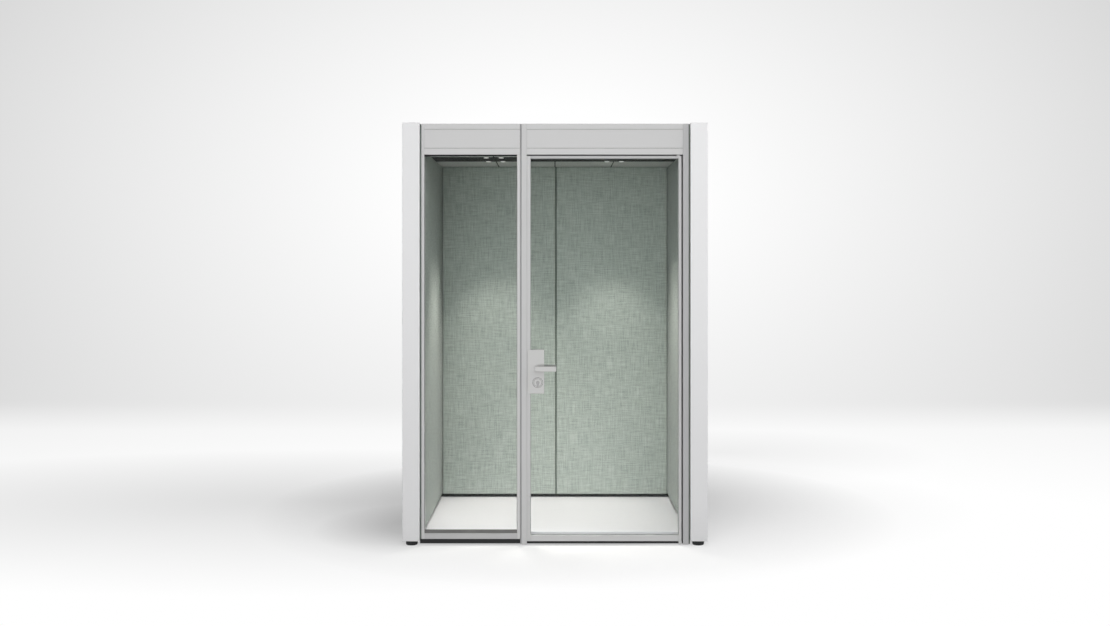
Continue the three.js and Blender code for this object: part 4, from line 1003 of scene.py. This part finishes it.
class POD_OT_glazing(PodOperator, bpy.types.Operator):
    """Panes, their gaskets, the door's seal and the seals in the gaps beside the front"""

    bl_idname = "pod.glazing"
    bl_label = "Glazing and seals"

    def build(self, context):
        dress(finish(clear_glass), "fixed_glass", "door_glass")
        self.door_seal()
        dress(finish(pane_gasket), "door_glass_gasket")
        self.fixed_gasket("fixed_glass_gasket")
        for side, sign in zip(SIDES, (-1, 1)):
            jamb_low, jamb_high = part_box(f"{side}_jamb")
            wall_low, wall_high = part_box(f"{side}_wall_shell")
            inner = min(abs(wall_low.x), abs(wall_high.x))
            gap, depth = 0.009, 0.014
            outer = sign * (inner - 0.0003)
            reach = sign * (inner - gap + 0.0003)
            front = jamb_low.y + 0.004
            shape = bmesh.new()
            low = (min(outer, reach), front, jamb_low.z + 0.002)
            high = (max(outer, reach), front + depth, jamb_high.z - 0.002)
            add_rounded_block(shape, low, high, 0.003)
            add_piece(f"{side}_edge_seal", shape, [finish(edge_seal)], FRAME_BODY)

    def door_seal(self):
        """Seal round the doorway, set back beside the pivots so that the heel stile turns past it."""
        shape = solid_copy("door_seal")
        low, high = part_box("door_frame")
        relief = high.x - (high.y - low.y) / 2 - SEAL_RELIEF
        for place in (relief - SEAL_SETBACK, relief):
            geometry = list(shape.verts) + list(shape.edges) + list(shape.faces)
            bmesh.ops.bisect_plane(shape, geom=geometry, plane_co=(place, 0, 0), plane_no=(1, 0, 0))
        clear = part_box("door_seal")[0].y + SEAL_SETBACK
        for vert in shape.verts:
            if vert.co.x > relief - WELD:
                vert.co.y = max(vert.co.y, clear)
        add_piece("door_seal_strip", shape, [finish(grey_rubber)], FRAME_BODY, ["door_seal"],
                  smooth=False)

    def fixed_gasket(self, node):
        """Grey gasket of the fixed pane, black along the head as painted shade under the header."""
        shape = solid_copy(node)
        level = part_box("header_left")[0].z - HEAD_BEAD
        geometry = list(shape.verts) + list(shape.edges) + list(shape.faces)
        bmesh.ops.bisect_plane(shape, geom=geometry, plane_co=(0, 0, level), plane_no=(0, 0, 1))
        # painted shade: the bead along the head is black
        for face in shape.faces:
            if face.calc_center_median().z > level:
                face.material_index = 1
        tones = [finish(grey_rubber), finish(black_coat)]
        add_piece(f"{node}_beads", shape, tones, FRAME_BODY, [node], smooth=False)


class POD_OT_door(PodOperator, bpy.types.Operator):
    """Door leaf: two stiles that run through and two rails between them, on its pivots"""

    bl_idname = "pod.door"
    bl_label = "Door leaf"

    def build(self, context):
        low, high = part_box("door_frame")
        left, right = low.x + DOOR_STILE, high.x - DOOR_STILE
        middle = (low.z + high.z) / 2
        half = sizes().joint / 2
        to_left, to_right, to_top, to_foot = (-1, 0, 0), (1, 0, 0), (0, 0, 1), (0, 0, -1)
        between = [((left + half, 0, 0), to_left), ((right - half, 0, 0), to_right)]
        members = (
            ("door_latch_stile", door_upright, [((left - half, 0, 0), to_right)]),
            # the top rail takes the aluminium darkened as painted shade
            ("door_top_rail", jamb_level, between + [((0, 0, middle), to_foot)]),
            ("door_bottom_rail", door_level, between + [((0, 0, middle), to_top)]),
        )
        for name, made, cuts in members:
            shape = solid_copy("door_frame")
            for point, outward in cuts:
                cut_away(shape, point, outward)
            round_edges(shape, sizes().profile_round, before(low.y + WELD))
            add_piece(name, shape, [finish(made)], DOOR_BODY, ["door_frame"])
        self.heel_stile(low, high, right + half)
        self.latch_lip(low, high)
        dress(finish(satin_steel), "bottom_pivot", "top_pivot")
        self.shoe(low, high, right)

    def heel_stile(self, low, high, inner):
        """The stile on the pivots: flat in front, with corners round enough to clear the jamb."""
        corner = sizes().heel_round
        outer = high.x - corner
        outline = [(inner, low.y)] + arc((outer, low.y + corner), corner, -90, 0, 8)
        outline += arc((outer, high.y - corner), corner, 0, 90, 8) + [(inner, high.y)]
        shape = bmesh.new()
        add_prism(shape, [Vector((x, y, low.z)) for x, y in outline], Vector((0, 0, high.z - low.z)))
        round_edges(shape, sizes().profile_round)
        add_piece("door_heel_stile", shape, [finish(door_upright)], DOOR_BODY, ["door_frame"])

    def latch_lip(self, low, high):
        """Thin lip of the latch stile that covers the gap to the mullion."""
        front = low.y + LIP_SETBACK
        shape = bmesh.new()
        add_block(shape, (low.x - LIP_WIDTH, front, low.z), (low.x, front + LIP_WIDTH, high.z))
        add_piece("door_latch_lip", shape, [finish(door_upright)], DOOR_BODY, smooth=False)

    def shoe(self, low, high, right):
        """Cover of the foot pivot, in line with the heel stile, down to the ground."""
        front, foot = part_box("door_threshold")[0].y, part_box("right_jamb")[0].z
        shape = bmesh.new()
        add_rounded_block(shape, (right, low.y + 0.0005, foot), (high.x, front - 0.0002, low.z - 0.0005), 0.0008)
        add_piece("foot_pivot_cover", shape, [finish(door_upright)], FRAME_BODY)


TO_FRONT = Matrix.Rotation(math.pi / 2, 4, "X")
TO_BACK = Matrix.Rotation(-math.pi / 2, 4, "X")


def lever_outline(reach):
    """Outline of a lever bar round its axis: a bar with soft corners that reaches further one way."""
    rise = LEVER_HEIGHT / 2 - LEVER_TIP
    tip, root = reach - LEVER_TIP, LEVER_TIP - LEVER_ROOT
    corners = (((root, rise), 90), ((root, -rise), 180), ((tip, -rise), 270), ((tip, rise), 0))
    return [point for middle, start in corners for point in arc(middle, LEVER_TIP, start, start + 90, 6)]


def cylinder_outline(grow):
    """Outline of a key cylinder: a round head and a narrower tail below it."""
    radius, tail, drop = 0.0086 + grow, 0.0050 + grow, 0.0190 + grow
    corner = math.degrees(math.asin(tail / radius))
    head = arc((0, 0), radius, -90 + corner, 270 - corner, 28)
    return head + arc((0, tail - drop), tail, 180, 360, 14)


class POD_OT_lock(PodOperator, bpy.types.Operator):
    """Lock plates with their rose and key cylinder, the two levers, the thumb turn, latch and bolt"""

    bl_idname = "pod.lock"
    bl_label = "Lock and levers"

    def build(self, context):
        # inner: steel darkened as painted shade, for the room side's plate and lever, the key plug and the thumb
        # turn
        steel, inner = finish(satin_steel), finish(inner_steel)
        self.outer_plate(finish(plate_steel), steel)
        self.inner_plate(inner)
        self.lever("lever_outer", TO_FRONT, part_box("lock_plate_outer")[0].y + ROSE_PROUD, finish(lever_steel))
        self.lever("lever_inner", TO_BACK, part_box("lock_plate_inner")[1].y, inner)
        for node, radius in (("key_plug", 0.0004), ("thumb_turn", 0.0016)):
            shape = solid_copy(node)
            round_edges(shape, radius)
            add_piece(f"{node}_turned", shape, [inner], "cylinder", [node])
        for node in ("latch_bolt", "dead_bolt", "strike_plate"):
            shape = solid_copy(node)
            round_edges(shape, 0.0006)
            body = {"latch_bolt": "latch", "dead_bolt": "bolt"}.get(node, FRAME_BODY)
            add_piece(f"{node}_edged", shape, [steel], body, [node])
        dress(steel, "lock_body", "latch_follower")

    def plate_blocks(self, shape, low, high, face, leaf, pane):
        """Adds a plate over the leaf's stile and the thicker part of it that meets the pane."""
        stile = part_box("door_frame")[0].x + DOOR_STILE + 0.0003
        front, back = sorted((face, leaf))
        add_rounded_block(shape, (low.x, front, low.z), (high.x, back, high.z), sizes().lock_round)
        inner, outer = sorted((leaf, pane))
        add_block(shape, (stile, inner, low.z + 0.001), (high.x - 0.001, outer, high.z - 0.001))

    def outer_plate(self, plate, steel):
        low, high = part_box("lock_plate_outer")
        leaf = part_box("door_frame")[0].y
        face = low.y + ROSE_PROUD
        shape = bmesh.new()
        self.plate_blocks(shape, low, high, face, leaf - 0.0003, high.y)
        add_piece("lock_plate_outer_dressed", shape, [plate], DOOR_BODY, ["lock_plate_outer"])
        x, z = self.axis("key_plug")
        self.rose(Matrix.Translation((x, face, z)) @ TO_FRONT, steel)
        cylinder = bmesh.new()
        for gap in add_prism(cylinder, self.cylinder_face(x, low.y - 0.0002, z, 0.0018), Vector((0, 0.0012, 0))):
            gap.material_index = 1
        add_prism(cylinder, self.cylinder_face(x, low.y - 0.0005, z, 0.0), Vector((0, 0.0015, 0)))
        metals = [finish(cylinder_steel), finish(inner_steel)]
        add_piece("key_cylinder_face", cylinder, metals, DOOR_BODY, smooth=False)

    def rose(self, place, steel):
        """Round rose of the key cylinder: a thin black ring round its foot as painted shadow, a raised ring, a
        dark groove and a disc.
        """
        # the first black ring, a little wider than the rose, is painted shadow round its foot
        rings = ((1, ((0, 0.0), (1.05, 0.0), (1.05, 0.07), (0, 0.07))),
                 (0, ((0, 0.0), (1, 0.0), (1, 0.55), (0.975, 0.85), (0.94, 1.0), (0.86, 1.0), (0.82, 0.8),
                      (0.81, 0.3), (0, 0.3))),
                 (1, ((0, 0.2), (0.81, 0.2), (0.81, 0.36), (0, 0.36))),
                 (0, ((0, 0.3), (0.765, 0.3), (0.765, 0.8), (0.74, 0.9), (0, 0.9))))
        shape = bmesh.new()
        for index, ring in rings:
            profile = [(radius * ROSE_RADIUS, height * ROSE_PROUD) for radius, height in ring]
            add_turned(shape, profile, place, index=index)
        add_piece("key_rose", shape, [steel, finish(foot_plastic)], DOOR_BODY)

    def cylinder_face(self, x, y, z, grow):
        """Outline of the key cylinder on the rose."""
        return [Vector((x + across, y, z + up)) for across, up in cylinder_outline(grow)]

    def inner_plate(self, steel):
        low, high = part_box("lock_plate_inner")
        shape = bmesh.new()
        self.plate_blocks(shape, low, high, high.y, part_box("door_frame")[1].y + 0.0003, low.y)
        add_piece("lock_plate_inner_dressed", shape, [steel], DOOR_BODY, ["lock_plate_inner"])

    def axis(self, node):
        """X and Z of the axis of a turning piece, from the joint that its body has."""
        low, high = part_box(node)
        joints = {"key_plug": "key_turn", "lever_outer": "lever_turn", "lever_inner": "lever_turn"}
        found = next(joint for joint in frame["joints"] if joint["name"] == joints[node])
        return found["pos_m"][0], found["pos_m"][2]

    def lever(self, node, turn, face, steel):
        """A lever: neck with a collar on the plate, and a bar with rounded edges."""
        low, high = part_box(node)
        x, z = self.axis(node)
        outward = -1 if turn is TO_FRONT else 1
        tip = low.y if outward < 0 else high.y
        near = tip - outward * LEVER_DEPTH
        shape = bmesh.new()
        bar = [Vector((x + across, tip, z + up)) for across, up in lever_outline(high.x - x)]
        add_prism(shape, bar, Vector((0, near - tip, 0)))
        round_edges(shape, sizes().lever_round, segments=4)
        reach = abs(near - face)
        neck = ((0, 0.0002), (1.55, 0.0002), (1.55, 0.003), (1.4, 0.0042), (1.06, 0.0048), (1.0, 0.007),
                (1.0, reach - 0.002), (1.12, reach), (1.12, reach + 0.004), (0, reach + 0.004))
        profile = [(radius * NECK_RADIUS, height) for radius, height in neck]
        add_turned(shape, profile, Matrix.Translation((x, face, z)) @ turn)
        add_piece(f"{node}_shaped", shape, [steel], "lever", [node])


class POD_OT_services(PodOperator, bpy.types.Operator):
    """Fans, lamp driver and the mains inlet with its contact pins"""

    bl_idname = "pod.services"
    bl_label = "Fans and power"

    def build(self, context):
        plastic = finish(foot_plastic)
        dress(plastic, "supply_fan_housing", "exhaust_fan_housing", "supply_fan_rotor", "exhaust_fan_rotor")
        # the lamp driver's coat carries the painted glow too
        dress(finish(lamp_metal), "lamp_driver")
        shape = solid_copy("mains_inlet")
        round_edges(shape, 0.0012, on_hull(*edges_of("mains_inlet")))
        add_piece("mains_inlet_moulded", shape, [plastic], FRAME_BODY, ["mains_inlet"])
        low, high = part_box("mains_inlet")
        middle = (low + high) / 2
        pins = [Vector((middle.x + reach, high.y - 0.0030, middle.z + rise))
                for reach, rise in ((-0.010, -0.002), (0.0, 0.003), (0.010, -0.002))]
        grow("mains_inlet_pins", pin_pattern(finish(satin_steel)), pins, FRAME_BODY, "satin_steel")


class POD_OT_feet(PodOperator, bpy.types.Operator):
    """Levelling feet: a ribbed pad that widens upwards, a lock nut and a threaded stem"""

    bl_idname = "pod.feet"
    bl_label = "Levelling feet"

    def build(self, context):
        plastic = finish(foot_plastic)
        for end in ENDS:
            for side in SIDES:
                node = f"foot_{end}_{side}"
                self.foot(node, f"{end}_{side}_foot", plastic)

    def foot(self, node, body, plastic):
        low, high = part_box(node)
        middle = (low + high) / 2
        pad = high.x - middle.x
        top = high.z - low.z
        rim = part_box("left_wall_shell")[0].z - low.z - FOOT_TRIM
        profile = [(0, 0), (pad - 0.0040, 0), (pad - 0.0028, 0.0010), (pad - 0.0020, 0.0040),
                   (pad - 0.0004, rim - 0.0050), (pad - 0.0008, rim - 0.0016), (pad - 0.0024, rim),
                   (0.016, rim + 0.0004), (0.0155, rim + 0.0022), (STEM_RADIUS, rim + 0.0022),
                   (STEM_RADIUS, top), (0, top)]
        shape = bmesh.new()
        add_turned(shape, profile, Matrix.Translation((middle.x, middle.y, low.z)))
        add_piece(f"{node}_pad", shape, [plastic], body, [node])
        points = [Vector((middle.x, middle.y, low.z + rim / 2))]
        grow(f"{node}_ribs", rib_pattern(plastic), points, body, "foot_black")


class POD_OT_fasteners(PodOperator, bpy.types.Operator):
    """Screw heads on the inner lock plate, the threshold, the inlet and the roof"""

    bl_idname = "pod.fasteners"
    bl_label = "Screw heads"

    def build(self, context):
        steel, dark = finish(satin_steel), finish(foot_plastic)
        quarter = math.pi / 2
        backward = screw_pattern(steel, dark, (-quarter, 0, 0))
        upward = screw_pattern(steel, dark, (0, 0, 0))
        grow("lock_plate_screws", backward, self.plate_points("lock_plate_inner", 0.012, 0.014),
             DOOR_BODY, "satin_steel")
        grow("inlet_screws", backward, self.inlet_points(), FRAME_BODY, "satin_steel")
        grow("threshold_screws", upward, self.threshold_points(), FRAME_BODY, "satin_steel")
        grow("roof_screws", upward, self.roof_points(), FRAME_BODY, "satin_steel")

    def plate_points(self, node, inset_x, inset_z):
        """Four corners of the back face of a plate."""
        low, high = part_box(node)
        return [Vector((x, high.y, z)) for x in (low.x + inset_x, high.x - inset_x)
                for z in (low.z + inset_z, high.z - inset_z)]

    def inlet_points(self):
        low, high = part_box("mains_inlet")
        return [Vector((x, high.y, (low.z + high.z) / 2)) for x in (low.x + 0.007, high.x - 0.007)]

    def threshold_points(self):
        low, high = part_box("door_threshold")
        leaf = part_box("door_frame")[1].y
        depth = (leaf + high.y) / 2
        return [Vector((low.x + (high.x - low.x) * share, depth, high.z)) for share in (0.08, 0.36, 0.64, 0.92)]

    def roof_points(self):
        low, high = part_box("roof_panel")
        inset = 0.03
        xs = [low.x + inset + (high.x - low.x - 2 * inset) * i / 4 for i in range(5)]
        return [Vector((x, y, high.z)) for y in (low.y + inset, high.y - inset) for x in xs]


FLOOR_NEAR = -30.0
FLOOR_FAR = 7.0
SWEEP = 2.2
WALL_TOP = 12.0
STAGE_HALF = 18.0
PAPER_LEVEL = 0.90


def studio_paper():
    """Pale paper of floor and backdrop: it takes shadows near the pod and painted shadows beside it, glows further
    away with a painted pool of light in front and a painted falloff on the backdrop, and throws little light back."""
    recipe = Recipe("studio_paper", {"Roughness": 0.9, "Specular IOR Level": 0.0})
    path = recipe.add("ShaderNodeLightPath")
    seen = recipe.math("MAXIMUM", path.outputs["Is Camera Ray"], path.outputs["Is Glossy Ray"])
    seen = recipe.math("MAXIMUM", seen, path.outputs["Is Transmission Ray"])
    pale = recipe.blend(recipe.noise(recipe.at(), 30, 3), srgb(243, 243, 243), srgb(246, 246, 246))
    # painted shadow beside the pod's left side, in the paper's colour and in its glow
    painted_nook_shadow = recipe.span(recipe.distance((-0.95, -0.1, 0.0), (1.5, 1.25, 0.0)), 0.0, 1.0, 0.25, 1.0)
    pale = recipe.blend(painted_nook_shadow, srgb(215, 215, 215), pale)
    recipe.join(recipe.blend(seen, srgb(138, 138, 138), pale), recipe.shader.inputs["Base Color"])
    # painted falloff: the backdrop glows less away from its middle
    wall = recipe.span(recipe.distance((0.0, 0.0, 2.9), (0.105, 0.0, 0.17)), 1.0, 0.69, 0.20, 0.985)
    # painted pool of light: the floor glows most in front, to the right
    ground = recipe.span(recipe.distance((1.0, -3.0, 0.0), (0.06, 0.05, 0.0)), 1.0, 0.87, 0.25, 0.65)
    # painted shadow on the floor to the pod's left
    painted_left_shadow = recipe.span(recipe.distance((-1.7, 0.8, 0.0), (0.21, 0.38, 0.0)), 0.71, 1.0)
    ground = recipe.math("MULTIPLY", ground, painted_left_shadow)
    ground = recipe.math("MULTIPLY", ground, recipe.span(painted_nook_shadow, 0.74, 1.0))
    # painted shade on the floor behind the pod's right
    painted_right_shade = recipe.span(recipe.distance((1.6, 3.2, 0.0), (0.5, 0.6, 0.0)), 0.88, 1.0)
    ground = recipe.math("MULTIPLY", ground, painted_right_shade)
    rising = recipe.span(recipe.along("Y"), 0.0, 1.0, 4.8, 7.4)
    level = recipe.blend(rising, ground, wall)
    glow = recipe.add("ShaderNodeEmission", {"Color": level})
    share = recipe.span(recipe.distance((0.15, 0.6, 0.0), (1.0, 1.0, 1.0)), 0.32, 1.0, 0.95, 2.3)
    mixed = recipe.add("ShaderNodeMixShader", {"Fac": recipe.math("MULTIPLY", seen, share)})
    recipe.join(recipe.shader.outputs["BSDF"], mixed.inputs[1])
    recipe.join(glow.outputs["Emission"], mixed.inputs[2])
    recipe.join(mixed.outputs["Shader"], recipe.output.inputs["Surface"])
    return recipe.material


class POD_OT_stage(PodOperator, bpy.types.Operator):
    """Floor that sweeps up into a backdrop, soft lamps, the pod's own lamps and the camera"""

    bl_idname = "pod.stage"
    bl_label = "Stage"

    def build(self, context):
        context.scene.view_settings.view_transform = "Standard"
        self.paper(context)
        self.world(context)
        self.lamps(context, context.scene.pod_stage)
        self.camera(context, context.scene.pod_stage)

    def paper(self, context):
        """One sheet: floor, sweep and wall."""
        bend = [(FLOOR_FAR + SWEEP * math.sin(a), SWEEP * (1 - math.cos(a)))
                for a in [math.pi / 2 * i / 24 for i in range(25)]]
        path = [(FLOOR_NEAR, 0.0)] + bend + [(FLOOR_FAR + SWEEP, WALL_TOP)]
        verts = [(x, y, z) for y, z in path for x in (-STAGE_HALF, STAGE_HALF)]
        faces = [(2 * i, 2 * i + 1, 2 * i + 3, 2 * i + 2) for i in range(len(path) - 1)]
        mesh = bpy.data.meshes.new("studio_sweep")
        mesh.from_pydata(verts, [], faces)
        mesh.materials.append(studio_paper())
        mesh.shade_smooth()
        sweep = bpy.data.objects.new("studio_sweep", mesh)
        context.scene.collection.objects.link(sweep)

    def world(self, context):
        """Even light from all round, brighter from above."""
        world = bpy.data.worlds.new("studio_light")
        context.scene.world = world
        world.use_nodes = True
        nodes, links = world.node_tree.nodes, world.node_tree.links
        ground = nodes["Background"]
        where = nodes.new("ShaderNodeTexCoord")
        parts = nodes.new("ShaderNodeSeparateXYZ")
        level = nodes.new("ShaderNodeMapRange")
        level.inputs["From Min"].default_value = -0.1
        level.inputs["From Max"].default_value = 0.9
        level.inputs["To Min"].default_value = 0.29
        level.inputs["To Max"].default_value = 0.34
        path = nodes.new("ShaderNodeLightPath")
        seen = path.outputs["Is Camera Ray"]
        for kind in ("Is Glossy Ray", "Is Transmission Ray"):
            either = nodes.new("ShaderNodeMath")
            either.operation = "MAXIMUM"
            links.new(seen, either.inputs[0])
            links.new(path.outputs[kind], either.inputs[1])
            seen = either.outputs[0]
        shown = nodes.new("ShaderNodeMix")
        shown.inputs["B"].default_value = PAPER_LEVEL
        links.new(where.outputs["Generated"], parts.inputs["Vector"])
        links.new(parts.outputs["Z"], level.inputs["Value"])
        links.new(seen, shown.inputs["Factor"])
        links.new(level.outputs["Result"], shown.inputs["A"])
        links.new(shown.outputs["Result"], ground.inputs["Color"])

    def lamps(self, context, stage):
        aim = Vector((0, 0, 1.2))
        self.softbox(context, "key_light", Vector((0.4, -4.2, 3.0)), aim, (4.0, 3.6), stage.key_power)
        self.softbox(context, "fill_light", Vector((-3.0, -8.2, 1.7)), aim, (6.0, 2.8), stage.fill_power)
        self.softbox(context, "side_light", Vector((6.5, -2.8, 4.5)), aim, (2.5, 2.5), stage.side_power)
        back = self.softbox(context, "back_light", Vector((-4.5, 5.5, 3.5)), aim, (4.0, 4.0), stage.back_power)
        unlit = bpy.data.collections.new("unlit_by_back_light")
        unlit.objects.link(bpy.data.objects["studio_sweep"])
        back.light_linking.receiver_collection = unlit
        unlit.collection_objects[0].light_linking.link_state = "EXCLUDE"
        for index, head in enumerate(lamp_heads()):
            data = bpy.data.lights.new(f"downlight_beam_{index}", "SPOT")
            data.energy = stage.lamp_power
            data.color = srgb(255, 250, 244)
            data.spot_size = stage.lamp_angle
            data.spot_blend = 0.55
            data.shadow_soft_size = 0.012
            lamp = bpy.data.objects.new(data.name, data)
            lamp.location = head - Vector((0, 0, 0.003))
            context.scene.collection.objects.link(lamp)

    def softbox(self, context, name, place, aim, size, power):
        """An area lamp of a width and a height that looks at a point and shows in no reflection."""
        data = bpy.data.lights.new(name, "AREA")
        data.shape = "RECTANGLE"
        data.size, data.size_y = size
        data.energy = power
        lamp = bpy.data.objects.new(name, data)
        lamp.location = place
        lamp.rotation_euler = (aim - place).to_track_quat("-Z", "Y").to_euler()
        lamp.visible_camera = False
        lamp.visible_glossy = False
        lamp.visible_transmission = False
        context.scene.collection.objects.link(lamp)
        return lamp

    def camera(self, context, stage):
        """Level camera on the middle of the pod; the lens shift sets the horizon."""
        data = bpy.data.cameras.new("camera")
        data.sensor_width = 36.0
        data.lens = stage.lens
        data.shift_y = stage.rise
        camera = bpy.data.objects.new("camera", data)
        camera.location = (0.0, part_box("left_wall_shell")[0].y - stage.distance, stage.eye_height)
        camera.rotation_euler = (math.pi / 2, 0.0, 0.0)
        context.scene.collection.objects.link(camera)
        context.scene.camera = camera


STEPS = (POD_OT_walls, POD_OT_linings, POD_OT_ceiling, POD_OT_floor, POD_OT_front, POD_OT_glazing, POD_OT_door,
         POD_OT_lock, POD_OT_services, POD_OT_feet, POD_OT_fasteners, POD_OT_stage)


class POD_PT_pieces(bpy.types.Panel):
    """The pod's settings and the steps that build it"""

    bl_idname = "POD_PT_pieces"
    bl_label = "Acoustic office pod"
    bl_space_type = "VIEW_3D"
    bl_region_type = "UI"
    bl_category = "Pod"

    def draw(self, context):
        layout = self.layout
        for title, group in (("Finishes", context.scene.pod_finishes), ("Sizes", context.scene.pod_sizes),
                             ("Stage", context.scene.pod_stage)):
            box = layout.box()
            box.label(text=title)
            for key in group.__annotations__:
                box.prop(group, key)
        for step in STEPS:
            layout.operator(step.bl_idname)


GROUPS = {"pod_finishes": PodFinishes, "pod_sizes": PodSizes, "pod_stage": PodStage}


def register():
    """Registers the classes and hangs the settings on the scene."""
    for cls in (*GROUPS.values(), *STEPS, POD_PT_pieces):
        bpy.utils.register_class(cls)
    for key, cls in GROUPS.items():
        setattr(bpy.types.Scene, key, PointerProperty(type=cls))


def unregister():
    """Takes the settings off the scene and unregisters the classes."""
    for key in GROUPS:
        delattr(bpy.types.Scene, key)
    for cls in reversed((*GROUPS.values(), *STEPS, POD_PT_pieces)):
        bpy.utils.unregister_class(cls)


def main():
    """Builds the pod step by step."""
    register()
    bpy.ops.pod.walls()
    bpy.ops.pod.linings()
    bpy.ops.pod.ceiling()
    bpy.ops.pod.floor()
    bpy.ops.pod.front()
    bpy.ops.pod.glazing()
    bpy.ops.pod.door()
    bpy.ops.pod.lock()
    bpy.ops.pod.services()
    bpy.ops.pod.feet()
    bpy.ops.pod.fasteners()
    bpy.ops.pod.stage()


if __name__ == "__main__":
    main()
